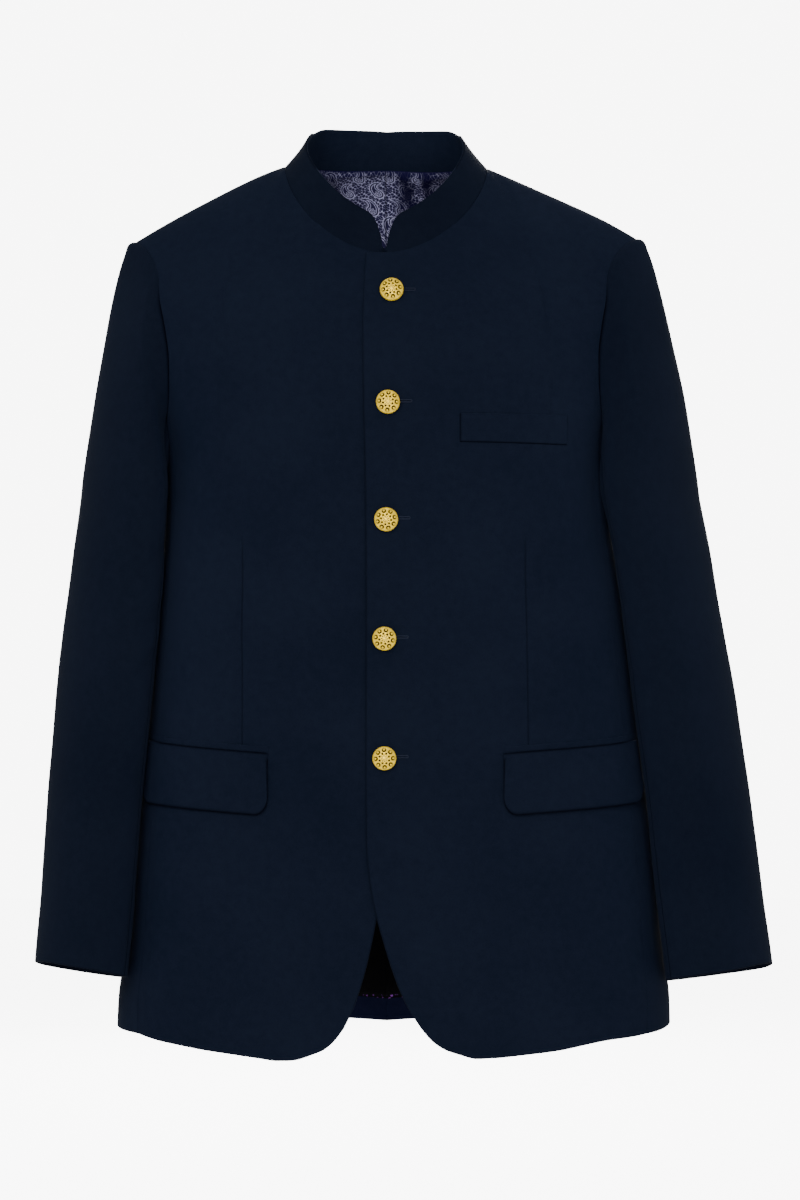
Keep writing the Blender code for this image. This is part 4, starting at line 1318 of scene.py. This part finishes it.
def add_sleeve_part(half, part, start, end):
    """One of a sleeve's two pieces, between two turns round the arm."""
    name = f"sleeve_{SIDE_NAMES[half.side]}_{part}"
    turns = start + (end - start) * fractions(LENGTH[part], CELL)
    caps, arms = plain(LENGTH["cap"], CELL, after=False), plain(LENGTH["arm"], CELL, before=False)
    grid = sleeve_grid(half, turns, caps, arms)
    normals = grid_normals(grid, half.side)
    first, last, below, above = edge_distances(grid)
    relief = sleeve_relief(grid, turns, below, half.side) * rise(least(first, last), *SLEEVE_FADE)
    from_tip = least(turns % (2 * pi), -turns % (2 * pi))
    shade = HEAD_SHADE + HEAD_SHADE_MORE * rise(from_tip, *HEAD_SHADE_TURNS)
    shade = peak(below, shade, HEAD_SHADE_REACH)
    shade = np.maximum(shade, seam_shade(first, last, above))
    under, ways = armhole_allowance(half, turns)
    plain_rows = np.zeros(under.shape[:2])
    relief, shade = (np.concatenate([plain_rows, rows]) for rows in (relief, shade))
    grid, normals = np.concatenate([under, grid]), np.concatenate([ways, normals])
    add_cloth(name, grid, normals, sleeve_cloth_painted_darker, relief, shade, has_allowance=True)


for half in halves:
    add_sleeve_part(half, "top", BACK_SEAM_TURN, FRONT_SEAM_TURN + 2 * pi)
    add_sleeve_part(half, "under", FRONT_SEAM_TURN, BACK_SEAM_TURN)


# How much the collar opens at the neck's sides, and at the right front besides: the lean,
# its place in shares of the collar and its reach. Then the depth of the collar's hollow
COLLAR_OPENS = (radians(1.2), 1.10, 0.25)
COLLAR_OPENS_RIGHT = (radians(3.5), 0.66, 0.22)
COLLAR_HOLLOW = 0.0009


def collar_lean(share, side):
    """Inward lean of the collar, which opens a little at the sides of the neck."""
    opened, opened_right = (peak(share - place, lean, reach)
                            for lean, place, reach in (COLLAR_OPENS, COLLAR_OPENS_RIGHT))
    return column(COLLAR, "lean")(share) - opened - opened_right * (side < 0)


def to_middle(line):
    """Level directions from a line's points to the middle."""
    return unit(-line * [1, 1, 0])


def leaned(upright, inner, lean):
    """The upright and inward directions, turned inward by a lean."""
    return upright * np.cos(lean) + inner * np.sin(lean), inner * np.cos(lean) - upright * np.sin(lean)


def collar_points():
    """Outer grid of the collar, its outward directions and the share of its height of each row."""
    shares = plain(LENGTH["collar front"], COLLAR_CELL)
    shares_behind = plain(LENGTH["collar back"], COLLAR_CELL, before=False, after=False)
    lines, outs = [], []
    for half in halves:
        front, front_out = panel_points(half, front_neck(half, shares))
        if half.side < 0:
            front = under_step(front)
        behind, back_out = panel_points(half, back_neck(half, 1 - shares_behind))
        lines.append(np.concatenate([front, behind[1:]]))
        outs.append(np.concatenate([front_out, back_out[1:]]))
    base, out = (np.concatenate([parts[0], parts[1][-2::-1]]) for parts in (lines, outs))
    lengths = running_lengths(base)
    shoulder, centre, end = len(shares) - 1, len(lines[0]) - 1, len(base) - 1
    marks = lengths[[0, shoulder, centre, end - shoulder, end]]
    share = np.interp(lengths, marks, [0.0, 1.0, 2.0, 1.0, 0.0])
    tangent = np.gradient(base, axis=0)
    for _ in range(12):
        tangent[1:-1] = (tangent[:-2] + 2 * tangent[1:-1] + tangent[2:]) / 4
    tangent = unit(tangent)
    inner = to_middle(base)
    inner = unit(inner - tangent * np.sum(inner * tangent, axis=1, keepdims=True))
    upright = np.cross(inner, tangent)
    upright *= np.sign(upright[:, 2:])
    lean = collar_lean(share, np.where(lengths > lengths[centre], -1, +1))[:, None]
    rise, inward = leaned(upright, inner, lean)
    reach = np.minimum(lengths, lengths[-1] - lengths) + COLLAR_END
    corner = np.sqrt(1 - (1 - np.minimum(reach / COLLAR_CORNER, 1.0)) ** 2)
    up = fractions(LENGTH["collar"], COLLAR_CELL)
    grid = base[None] + rise[None] * (column(COLLAR, "height")(share) * corner * up[:, None])[..., None]
    under, ways = allowance(base, out, base.mean(axis=0))
    normals = np.concatenate([ways, np.broadcast_to(-inward, grid.shape)])
    return np.concatenate([under, grid]), normals, up


def add_collar():
    """The stand collar, a little hollow over its height."""
    grid, normals, up = collar_points()
    hollow = np.concatenate([np.zeros(len(ALLOWANCE)), -COLLAR_HOLLOW * np.sin(pi * up)])[:, None]
    piece = add_cloth("collar", grid, normals, collar_cloth_painted_darker, hollow, kind="collar", has_allowance=True)
    # The collar's inner side takes a copy of the cloth painted lighter, in place of light.
    face_inside(piece, cloth_material("navy_suiting_collar_inside_painted_lighter", 1.25))


add_collar()


# The lining: the repeat of its figure across and down and of its ground, its colours, and
# the levels between which painted shade darkens it low inside the jacket, and where the specks of its hem
# end
FIGURE_REPEAT = (0.027, 0.036)
VINE_REPEAT = 0.0046
PLEAT_X = -0.0006
LINING_GROUND = (0.014, 0.011, 0.066, 1.0)
LINING_FIGURE = (0.66, 0.65, 0.95, 1.0)
LINING_SHADOW = (0.0062, 0.0048, 0.0300, 1.0)
LINING_PLEAT_SHADOW = (0.0045, 0.0035, 0.0220, 1.0)
LINING_PAINTED_SHADE = (0.0005, 0.0005, 0.0012, 1.0)
LINING_PAINTED_SHADE_LEVELS = (-0.60, -0.48)
LINING_SPECKS = (0.22, 0.05, 0.36, 1.0)
SPECK_LEVELS = (-0.7280, -0.7264)


# A drop of the lining, in shares of its repeat: its width, the middle and radius of the arc
# that its tail follows, where the arc starts and how far it turns, how thick the head is and
# how the tail tapers, and the middle of the head
DROP_WIDTH = 0.75
ARC_MIDDLE = (0.115, -0.03)
ARC_RADIUS = 0.20
ARC_START = 0.75
ARC_TURN = 2.6
HEAD_RADIUS = 0.145
TAIL_TAPER = 0.85
HEAD_MIDDLE = (-0.031, -0.166)

# Its lines: how far inside the outline or outside it they run, and half their width, sharp
# and with the soft edge. Then the number of beads, and of petals with their reach and radius
OUTLINE = (0.007, 0.017)
INNER_LINE_AT = 0.055
INNER_LINE = (0.004, 0.014)
BEADS_AT = 0.030
BEAD_LINE = (0.006, 0.014)
BEADS = 22.0
PETALS = 6.0
PETAL_REACH = 0.016
PETAL_RADIUS = 0.050
PETAL_LINE = (0.006, 0.014)
FLOWER_CORE = (0.010, 0.022)
DROP_ROOM = (0.03, 0.06)
VINE_LINE = (0.14, 0.34)


def paisley(nodes, u, v, shift, mirror):
    """One set of curled drops, in shares of their repeat: their drawn lines and their inside."""
    x = (nodes.math("FRACT", u / FIGURE_REPEAT[0] + shift) - 0.5) * (DROP_WIDTH * mirror)
    y = nodes.math("FRACT", v / FIGURE_REPEAT[1] + shift) - 0.5
    arc_x, arc_y = x - ARC_MIDDLE[0], y - ARC_MIDDLE[1]
    angle = nodes.math("ARCTAN2", arc_y, arc_x * -1.0)
    turn = (angle + ARC_START) / ARC_TURN
    taper = nodes.math("POWER", 1.0 - nodes.limited(turn), TAIL_TAPER) * HEAD_RADIUS
    tail = abs(nodes.length(arc_x, arc_y) - ARC_RADIUS) - taper
    head_x, head_y = x - HEAD_MIDDLE[0], y - HEAD_MIDDLE[1]
    head = nodes.length(head_x, head_y)
    past, ended = nodes.band(turn, -0.02, 0.02), nodes.band(turn, 0.98, 1.02)
    distance = tail * past + (head - HEAD_RADIUS) * (1.0 - past) + ended * 0.3
    edge = nodes.below(abs(distance), *OUTLINE)
    second = nodes.below(abs(distance + INNER_LINE_AT), *INNER_LINE)
    beads = nodes.band(nodes.math("SINE", angle * BEADS), 0.1, 0.5)
    ring = nodes.below(abs(distance - BEADS_AT), *BEAD_LINE) * beads
    waves = nodes.math("COSINE", nodes.math("ARCTAN2", head_y, head_x) * PETALS)
    flower = nodes.below(abs(head - (waves * PETAL_REACH + PETAL_RADIUS)), *PETAL_LINE)
    core = nodes.below(head, *FLOWER_CORE)
    return nodes.largest(edge, second, ring, flower, core), nodes.below(distance, *DROP_ROOM)


def vines(nodes, u, v):
    """Winding lines of the ground between the drops."""
    u, v = (place * (2 * pi / VINE_REPEAT) for place in (u, v))
    upright, level = (nodes.math("SINE", one + nodes.math("SINE", other * 0.5) * 1.6)
                      for one, other in ((u, v), (v, u)))
    return nodes.below(abs(upright + level), *VINE_LINE)


def lining_material():
    """Jacquard satin: curled drops with outlines, dots and a small flower, on a fine ground."""
    nodes = Nodes("paisley_lining")
    u, v = nodes.cloth_place()
    drawn, inside = zip(paisley(nodes, u, v, 0.0, 1.0), paisley(nodes, u, v, 0.5, -1.0))
    outside = 1.0 - nodes.largest(*inside)
    figure = nodes.largest(*drawn, vines(nodes, u, v) * outside * 0.85)
    grain = nodes.band(nodes.noise(1200.0, 2.0, 0.6), 0.40, 0.60)
    shade = nodes.attribute("shade")
    colour = nodes.mix(nodes.limited(figure * (grain * 0.60 + 0.50)), LINING_GROUND, LINING_FIGURE)
    colour = nodes.mix(shade, colour, LINING_SHADOW)
    x, _, level = nodes.split(nodes.place())
    # A dark line painted along the pleat stands in for the shadow of its fold
    colour = nodes.mix(nodes.below(abs(x - PLEAT_X), 0.0003, 0.0009) * 0.72, colour, LINING_PLEAT_SHADOW)
    # Painted shade: low inside the jacket the lining is painted near black, in place of its shadow there
    depth = nodes.band(level, *LINING_PAINTED_SHADE_LEVELS)
    colour = nodes.mix(depth, LINING_PAINTED_SHADE, colour)
    specks = nodes.band(nodes.noise(430.0, 1.0), 0.56, 0.62)
    colour = nodes.mix(specks * nodes.below(level, *SPECK_LEVELS), colour, LINING_SPECKS)
    return nodes.surface({
        "Base Color": colour,
        "Roughness": figure * 0.14 + 0.46,
        "Normal": nodes.bump(figure, 0.00008, 0.6),
        "Specular IOR Level": (depth * 0.24 + 0.04) * (1.0 - shade),
    })


LINING_CELL = 0.0048
LINING_INSET = CAD_WALL + 0.0012
LINING_ON_COLLAR = 0.0029
LINING_OVER = {"middle": 0.0010, "ends": 0.0052}
LINING_OVER_REACH = 0.6
LINING_ONWARD = 0.0012
LINING_TURN = (0.15, 0.45, 0.72, 0.88, 1.0)

# The pleat down the lining's middle: depth, where its step is and its reach, and how far
# below the neck it begins. Then how the lining's relief fades and the most that it rises
PLEAT_DEPTH = 0.0012
PLEAT_STEP = (-0.0004, 0.0004)
PLEAT_REACH = 0.012
PLEAT_BEGIN = 0.045
LINING_FADE = 0.010
LINING_FADE_ABOVE = 0.002
LINING_HIGHEST = 0.0008

# Shades of the lining: how dark the neck's folds are and at what depth, how far from the
# pleat its corners begin, and darkness and reach of the corners and under the collar
NECK_FOLD_SHADE = 0.97
NECK_FOLD_DEPTH = 0.0024
CORNER_FROM_PLEAT = (0.030, 0.050)
CORNER_SHADE = (0.80, 0.021)
COLLAR_SHADES = ((0.78, 0.0050), (1.0, 0.0022))

NECK_FOLDS = 6
LINING_CREASES = table(CREASE_COLUMNS, [
    (0.012, 0.022, 0.029, -0.040, 0.0044, -0.0044),
    (0.031, 0.018, 0.047, -0.036, 0.0044, -0.0042),
    (0.013, 0.010, 0.012, -0.090, 0.0060, -0.0016),
    (-0.060, 0.020, -0.066, -0.120, 0.0055, -0.0042),
    (-0.047, 0.015, -0.050, -0.120, 0.0070, -0.0024),
    (-0.024, 0.000, -0.030, -0.110, 0.0080, -0.0012),
    (-0.120, -0.150, -0.060, -0.300, 0.016, -0.0030),
    (0.115, -0.160, 0.070, -0.310, 0.016, -0.0030),
])


def over_collar(half, points, normals):
    """Carries the lining's top up over the foot of the collar's inner side."""
    u = back_shares(LINING_CELL)
    share = within(u, 0.0, BACK_NECK_SHARE)
    edge, _ = panel_points(half, back_neck(half, share))
    lean = collar_lean(2.0 - share, half.side)[:, None]
    rise, inward = leaned(np.array([0.0, 0.0, 1.0]), to_middle(edge), lean)
    more = (LINING_OVER["ends"] - LINING_OVER["middle"]) * smooth_step(share / LINING_OVER_REACH)
    over = LINING_OVER["middle"] + more
    on_neck = (u <= BACK_NECK_SHARE)[:, None]
    onward = unit(points[-1] - points[-2]) * LINING_ONWARD
    rows = [np.where(on_neck, edge + inward * LINING_ON_COLLAR + rise * step * over[:, None],
                     points[-1] + onward * step) for step in LINING_TURN]
    ways = [np.where(on_neck, -inward, normals[-1])] * len(rows)
    return np.concatenate([points, rows]), np.concatenate([normals, ways])


def lining_half(half):
    """One half of the lining, from above the hem up over the collar's foot."""
    points, normals = panel_points(half, back_places(half, LINING_CELL))
    _, _, below, _ = edge_distances(points)
    start = int(np.argmax(below[:, 0] > LINING_RISE))
    points, normals = points[start:], normals[start:]
    points, normals = over_collar(half, points - normals * LINING_INSET, normals)
    return points if half.side > 0 else points[:, :0:-1], normals if half.side > 0 else normals[:, :0:-1]


def lining_relief(points, folds, distances):
    """The folds and the pleat down the middle, which fade out at the edges."""
    first, last, below, above = distances
    past = points[..., 0] - PLEAT_X
    pleat = -PLEAT_DEPTH * rise(past, *PLEAT_STEP) * np.exp(-np.maximum(past, 0.0) / PLEAT_REACH)
    near = smooth_step(least(first, last, above + LINING_FADE_ABOVE, below) / LINING_FADE)
    return np.minimum((folds + pleat * smooth_step(above / PLEAT_BEGIN)) * near, LINING_HIGHEST)


def lining_shade(points, above):
    """Shadow in the folds of the neck, in its corners and under the collar."""
    shade = smooth_step(-creases(points, LINING_CREASES[:NECK_FOLDS]) / NECK_FOLD_DEPTH)
    corner = rise(np.abs(points[..., 0] - PLEAT_X), *CORNER_FROM_PLEAT) * peak(above, *CORNER_SHADE)
    return most(NECK_FOLD_SHADE * shade, corner, *(peak(above, *under) for under in COLLAR_SHADES))


def add_lining():
    """The lining inside the back, in one piece."""
    (left_points, left_normals), (right_points, right_normals) = (lining_half(half) for half in halves)
    points = np.concatenate([right_points, left_points], axis=1)
    normals = np.concatenate([right_normals, left_normals], axis=1)
    distances = edge_distances(points)
    relief = lining_relief(points, creases(points, LINING_CREASES), distances)
    shade = lining_shade(points, distances[3])
    add_cloth("back_lining", points, normals, lining_material(), relief, shade,
              kind="lining", slot="lining", shade_inside=True)


add_lining()


def pocket_points(half, drops, out):
    """Grid of a strip along the hip pocket; drops gives each row's fall at each share."""
    shares = fractions(FLAP_LENGTH, FLAP_CELL)
    level = FLAP_TOP["front"] + (FLAP_TOP["rear"] - FLAP_TOP["front"]) * shares
    first = half.at_x(np.full(len(shares), FLAP_FRONT_X), level)[:, 0]
    final = half.at_y(np.full(len(shares), FLAP_REAR_Y), level)[:, 0]
    angle = first + (final - first) * shares
    rows = []
    for fall in drops(shares):
        lowered = level - fall
        rows.append(np.stack([angle, half.drop(half.ring(angle, lowered)[0], lowered)], axis=-1))
    return panel_points(half, np.array(rows), out)


def flap_drops(shares):
    """Falls of a flap's rows, with both lower corners rounded."""
    from_end = np.minimum(shares, 1 - shares) * FLAP_LENGTH
    corner = np.clip(1 - from_end / FLAP_CORNER, 0.0, 1.0)
    full = FLAP_HEIGHT - FLAP_CORNER * (1 - np.sqrt(1 - corner * corner))
    return [part * full for part in fractions(FLAP_HEIGHT, FLAP_CELL)]


def jet_drops(shares):
    """Falls of a jet's rows, just above the flap."""
    return [-SEAM_GAP - JET_HEIGHT * (1 - part) + 0 * shares for part in fractions(JET_HEIGHT, JET_CELL)]


# A flap's belly, and how its edges stand off: height, how far down and how near the edges.
# Then darkness and reach of the shade at its edges and top, how far below the top the front
# edge's shade begins, over what length it ends behind, and shades of the welt's edges
FLAP_BELLY = 0.0010
FLAP_STANDS_OFF = 0.0012
FLAP_STANDS_DOWN = 0.020
FLAP_STANDS_NEAR = 0.016
FLAP_EDGE_SHADE = (0.92, 0.0017)
FLAP_TOP_SHADE = (0.80, 0.0011)
FLAP_SHADE_CORNER = 0.006
FLAP_SHADE_END = 0.03
WELT_LOW_SHADE = (0.85, 0.0010)
WELT_END_SHADE = (0.70, 0.0010)


def add_pocket(half):
    """A hip pocket's flap and the jet over it."""
    name = SIDE_NAMES[half.side]
    points, normals = pocket_points(half, flap_drops, CAD_WALL + LAID_GAP)
    first, last, below, above = edge_distances(points)
    belly = FLAP_BELLY * np.sin(pi * np.clip(below / FLAP_HEIGHT, 0, 1))
    near = smooth_step(1 - least(above, first) / FLAP_STANDS_NEAR)
    belly = belly + FLAP_STANDS_OFF * smooth_step(below / FLAP_STANDS_DOWN) * near
    belly = belly + unevenness(points, 7 * half.side, UNEVEN["flap"])
    edge = least(above, most(first, FLAP_SHADE_CORNER - below))
    shade = most(peak(edge, *FLAP_EDGE_SHADE), peak(below, *FLAP_TOP_SHADE))
    shade = shade * smooth_step(last / FLAP_SHADE_END)
    add_cloth("flap_" + name, points, normals, cloth, belly, shade)
    points, normals = pocket_points(half, jet_drops, JET_OUT)
    add_cloth("jet_" + name, points, normals, cloth, shade=np.zeros(points.shape[:2]), kind="jet")


def add_welt():
    """The chest pocket's welt."""
    shares = fractions(WELT_REAR_X - WELT_FRONT_X, WELT_CELL)
    parts = fractions(WELT_HEIGHT, WELT_CELL)
    bottom = WELT_BOTTOM["front"] + (WELT_BOTTOM["rear"] - WELT_BOTTOM["front"]) * shares
    across = WELT_FRONT_X + (WELT_REAR_X - WELT_FRONT_X) * shares
    level = WELT_TOP + (bottom - WELT_TOP)[None] * parts[:, None]
    places = left.at_x(np.broadcast_to(across, level.shape), level)
    points, normals = panel_points(left, places, WELT_OUT)
    first, _, _, above = edge_distances(points)
    shade = most(peak(above, *WELT_LOW_SHADE), peak(first, *WELT_END_SHADE))
    add_cloth("chest_welt", points, normals, cloth, shade=shade, kind="welt")


for half in halves:
    add_pocket(half)
add_welt()


def button_material():
    """Pale gold, dark in the pierced work."""
    nodes = Nodes("pale_gold")
    grain = nodes.noise(1500.0, 3.0, 0.6)
    shade = nodes.limited(grain * 0.12 + nodes.attribute("cavity"))
    return nodes.surface({
        "Base Color": nodes.mix(shade, (1.00, 0.67, 0.045, 1.0), (0.018, 0.0085, 0.0008, 1.0)),
        "Metallic": 0.5,
        "Specular IOR Level": 0.1,
        "Roughness": shade * 0.2 + 0.30,
        "Normal": nodes.bump(grain, 0.00004, 0.5),
    })


def dots(across, up, centres, size):
    """1 at each centre, falling off to 0."""
    return most(*(bell(np.hypot(across - x, up - y), size) for x, y in centres))


def circle(count, radius, phase=0.0):
    """Places evenly round a circle."""
    return [(radius * cos(2 * pi * step / count + phase), radius * sin(2 * pi * step / count + phase))
            for step in range(count)]


# The buttons' filigree, in shares of the radius: rings of motifs, of pierced dots and of
# pips, each with its radius and its turn, and the sizes of what stands on them. Then radius
# and width of the round cords and the groove, and heights and depths in metres
MOTIFS = 8
MOTIF_RING = (0.74, pi / 20)
MOTIF_EDGE = (0.130, 0.068)
MOTIF_PIP = 0.060
OUTER_DOTS = (0.43, pi / 6)
OUTER_DOT = 0.088
INNER_DOTS = (0.24, pi / 12)
INNER_DOT = 0.046
PIPS = (0.36, pi / 24)
PIP = 0.034
MIDDLE_PIP = 0.10
CORD_RINGS = ((0.54, 0.026), (0.95, 0.035))
GROOVE_RING = (0.165, 0.025)
CORD_HEIGHT = 0.00020
PIT_DEPTH = 0.00045
GROOVE_DEPTH = 0.00016


def filigree(across, up):
    """Raised and pierced work on the dome, in shares of its radius."""
    away = np.hypot(across, up)
    pits, pips = np.zeros(away.shape), np.zeros(away.shape)
    for x, y in circle(MOTIFS, *MOTIF_RING):
        near = np.hypot(across - x, up - y)
        inside = 0.5 - 0.5 * ((across - x) * x + (up - y) * y) / np.maximum(near * MOTIF_RING[0], 1e-6)
        pits = most(pits, bell(near - MOTIF_EDGE[0], MOTIF_EDGE[1]) * (0.30 + 0.70 * inside))
        pips = most(pips, bell(near, MOTIF_PIP))
    pits = most(pits, dots(across, up, circle(MOTIFS, *OUTER_DOTS), OUTER_DOT),
                0.8 * dots(across, up, circle(MOTIFS, *INNER_DOTS), INNER_DOT))
    pips = most(pips, dots(across, up, circle(MOTIFS, *PIPS), PIP), bell(away, MIDDLE_PIP))
    cords = sum(bell(away - radius, width) for radius, width in CORD_RINGS)
    groove = bell(away - GROOVE_RING[0], GROOVE_RING[1])
    height = PIP_HEIGHT * pips + CORD_HEIGHT * cords - PIT_DEPTH * pits - GROOVE_DEPTH * groove
    return height, np.clip(1.9 * pits ** 1.2 + 0.25 * groove - 0.6 * pips, 0.0, 1.0)


def add_button(index, row, spin, material):
    """A domed button on its shank, standing between level and square to the cloth."""
    count = 144
    turns = np.linspace(0, 2 * pi, count, endpoint=False)
    share, turn = np.sin(pi / 2 * np.linspace(0.0, 1.0, 46))[1:, None], turns[None, :]
    relief, cavity = filigree(share * np.cos(turn + spin), share * np.sin(turn + spin))
    rim = SHANK_HEIGHT + BUTTON_RIM
    dome = (BUTTON_HEIGHT - rim) * np.sqrt(1 - share ** 2)
    tall = rim + dome + relief * smooth_step((1 - share) / 0.06)
    radius = np.concatenate([share[:, 0] * BUTTON_RADIUS, [ring[0] for ring in BUTTON_UNDER]])[:, None]
    tall = np.concatenate([tall, [np.full(count, ring[1]) for ring in BUTTON_UNDER]])
    body = np.stack([radius * np.cos(turn), radius * np.sin(turn), tall], axis=-1).reshape(-1, 3)
    points = np.concatenate([[[0.0, 0.0, BUTTON_HEIGHT + PIP_HEIGHT]], body, [[0.0, 0.0, 0.0]]])
    cavities = np.concatenate([[0.0], cavity.ravel(), np.zeros(len(points) - 1 - cavity.size)])
    faces = [(0, 1 + step, 1 + (step + 1) % count) for step in range(count)]
    for base in range(1, 1 + (len(tall) - 1) * count, count):
        faces += [(base + step, base + count + step, base + count + after, base + after)
                  for step, after in zip(range(count), np.roll(range(count), -1).tolist())]
    base, end = 1 + (len(tall) - 1) * count, len(points) - 1
    faces += [(base + step, end, base + (step + 1) % count) for step in range(count)]
    piece = make_object(f"gold_button_{index}", points, faces, attribute=("cavity", cavities))

    place = left.at_x(row.across, row.level)
    cloth_normal = Vector(left.normal(place[0], place[1]).tolist())
    normal = (cloth_normal + Vector((0.0, -1.0, 0.0))).normalized()
    seat = Vector(left.point(place[0], place[1]).tolist()) + cloth_normal * BUTTON_SEAT
    piece.data.transform(Matrix.Translation(seat) @ normal.to_track_quat("Z", "Y").to_matrix().to_4x4())
    settle(piece, material, "buttons", f"button_{index}")


def tube(path, radii, sides=8):
    """Points and faces of a thread that follows a closed path, with its radius at each place."""
    tangent = unit(np.roll(path, -1, axis=0) - np.roll(path, 1, axis=0))
    side = unit(np.cross(tangent, [0.0, -1.0, 0.0]))
    over = np.cross(side, tangent)
    turn = np.linspace(0, 2 * pi, sides + 1)[:-1]
    ring = side[:, None] * np.cos(turn)[None, :, None] + over[:, None] * np.sin(turn)[None, :, None]
    points = path[:, None] + ring * radii[:, None, None]
    numbers = np.arange(len(path) * sides).reshape(len(path), sides)
    numbers = np.pad(numbers, ((0, 1), (0, 1)), mode="wrap")
    return points.reshape(-1, 3), grid_faces(numbers, False)


def slot(length, half_width, count):
    """Points round a long hole with round ends, and how far along its edge each is."""
    straight, bend = length - 2 * half_width, pi * half_width
    around = np.linspace(0.0, 1.0, count + 1)[:-1] * 2 * (straight + bend)
    under, run = around >= straight + bend, around % (straight + bend)
    turn = np.maximum(run - straight, 0.0) / half_width
    x = np.minimum(run, straight) + half_width * np.sin(turn)
    z = half_width * np.cos(turn)
    return half_width + np.where(under, straight - x, x), np.where(under, -z, z), around


def add_buttonhole(index, row, thread):
    """The stitched edge of a buttonhole."""
    x, z, around = slot(HOLE_LENGTH, HOLE_HALF, HOLE_PLACES)
    places = left.at_x(row.across + HOLE_START + x, row.level + HOLE_RISE + z)
    points, _ = panel_points(left, places, THREAD_OUT)
    radii = THREAD_RADIUS + STITCH_SWELL * np.sin(around * 2 * pi / STITCH)
    points, faces = tube(points, radii)
    settle(make_object(f"buttonhole_{index}", points, faces), thread, "cloth")


gold, thread = button_material(), thread_material()
for index, (row, spin) in enumerate(zip(BUTTONS, BUTTON_SPINS), start=1):
    add_button(index, row, spin, gold)
    add_buttonhole(index, row, thread)


# Stage: strength of the background and of the room's light, the share of the background
# that the floor gives back by itself, the floor's level and half width, and what is lit
BACKGROUND = 8.0
FLOOR_SHARE = 0.90
ROOM_LIGHT = 0.70
FLOOR = -1.15
FLOOR_REACH = 6.0
LIT = (0.0, 0.0, -0.40)


def seen_directly(tree):
    """1 where the view meets the stage itself, and 0 where its light falls on something."""
    return tree.nodes.new("ShaderNodeLightPath").outputs["Is Camera Ray"]


def add_floor():
    """The plain pale floor."""
    nodes = Nodes("pale_floor")
    material = nodes.surface({
        "Base Color": (0.92, 0.92, 0.92, 1.0),
        "Roughness": 0.9,
        "Specular IOR Level": 0.1,
        "Emission Color": (1.0, 1.0, 1.0, 1.0),
        "Emission Strength": Term(nodes, seen_directly(nodes.tree)) * (BACKGROUND - FLOOR_SHARE),
    })
    corners = [(-1, -1), (1, -1), (1, 1), (-1, 1)]
    points = np.array([(x * FLOOR_REACH, y * FLOOR_REACH, FLOOR) for x, y in corners])
    floor = make_object("floor", points, [(0, 1, 2, 3)])
    floor.data.materials.append(material)


def add_room():
    """Even light from all round, and the pale background."""
    world = bpy.data.worlds.new("studio")
    world.use_nodes = True
    tree = world.node_tree
    room = tree.nodes["Background"]
    room.inputs["Color"].default_value = (1.0, 1.0, 1.0, 1.0)
    strength = tree.nodes.new("ShaderNodeMix")
    strength.inputs[2].default_value = ROOM_LIGHT
    strength.inputs[3].default_value = BACKGROUND
    tree.links.new(seen_directly(tree), strength.inputs["Factor"])
    tree.links.new(strength.outputs[0], room.inputs["Strength"])
    bpy.context.scene.world = world


def soft_light(name, place, target, size, power):
    """A soft box that shines from a place at a target."""
    light = bpy.data.lights.new(name, "AREA")
    light.shape = "RECTANGLE"
    light.size, light.size_y = size
    light.energy = power
    lamp = bpy.data.objects.new(name, light)
    bpy.context.scene.collection.objects.link(lamp)
    lamp.location = place
    lamp.rotation_mode = "QUATERNION"
    lamp.rotation_quaternion = (Vector(place) - Vector(target)).to_track_quat("Z", "Y")


def add_camera():
    """The photograph's view: level and square to the front."""
    camera = bpy.data.objects.new("camera", bpy.data.cameras.new("camera"))
    bpy.context.scene.collection.objects.link(camera)
    camera.location = CAMERA_PLACE
    camera.rotation_euler = (pi / 2, 0.0, 0.0)
    camera.data.sensor_fit = "VERTICAL"
    camera.data.sensor_height = SENSOR_HEIGHT
    camera.data.lens = -CAMERA_PLACE[1] / VIEW_HEIGHT * SENSOR_HEIGHT
    bpy.context.scene.camera = camera


add_floor()
add_room()
soft_light("key", (-0.75, -3.1, 0.75), LIT, (1.3, 1.3), 62)
soft_light("fill", (0.75, -3.1, -0.10), LIT, (1.2, 1.5), 36)
soft_light("top", (0.0, -1.1, 1.9), (0.0, 0.0, 0.0), (1.2, 0.8), 6)
soft_light("back_key", (0.45, 3.1, 0.75), LIT, (1.3, 1.3), 66)
soft_light("back_fill", (-0.45, 3.1, 0.20), LIT, (1.2, 1.5), 40)
add_camera()

bpy.context.view_layer.update()
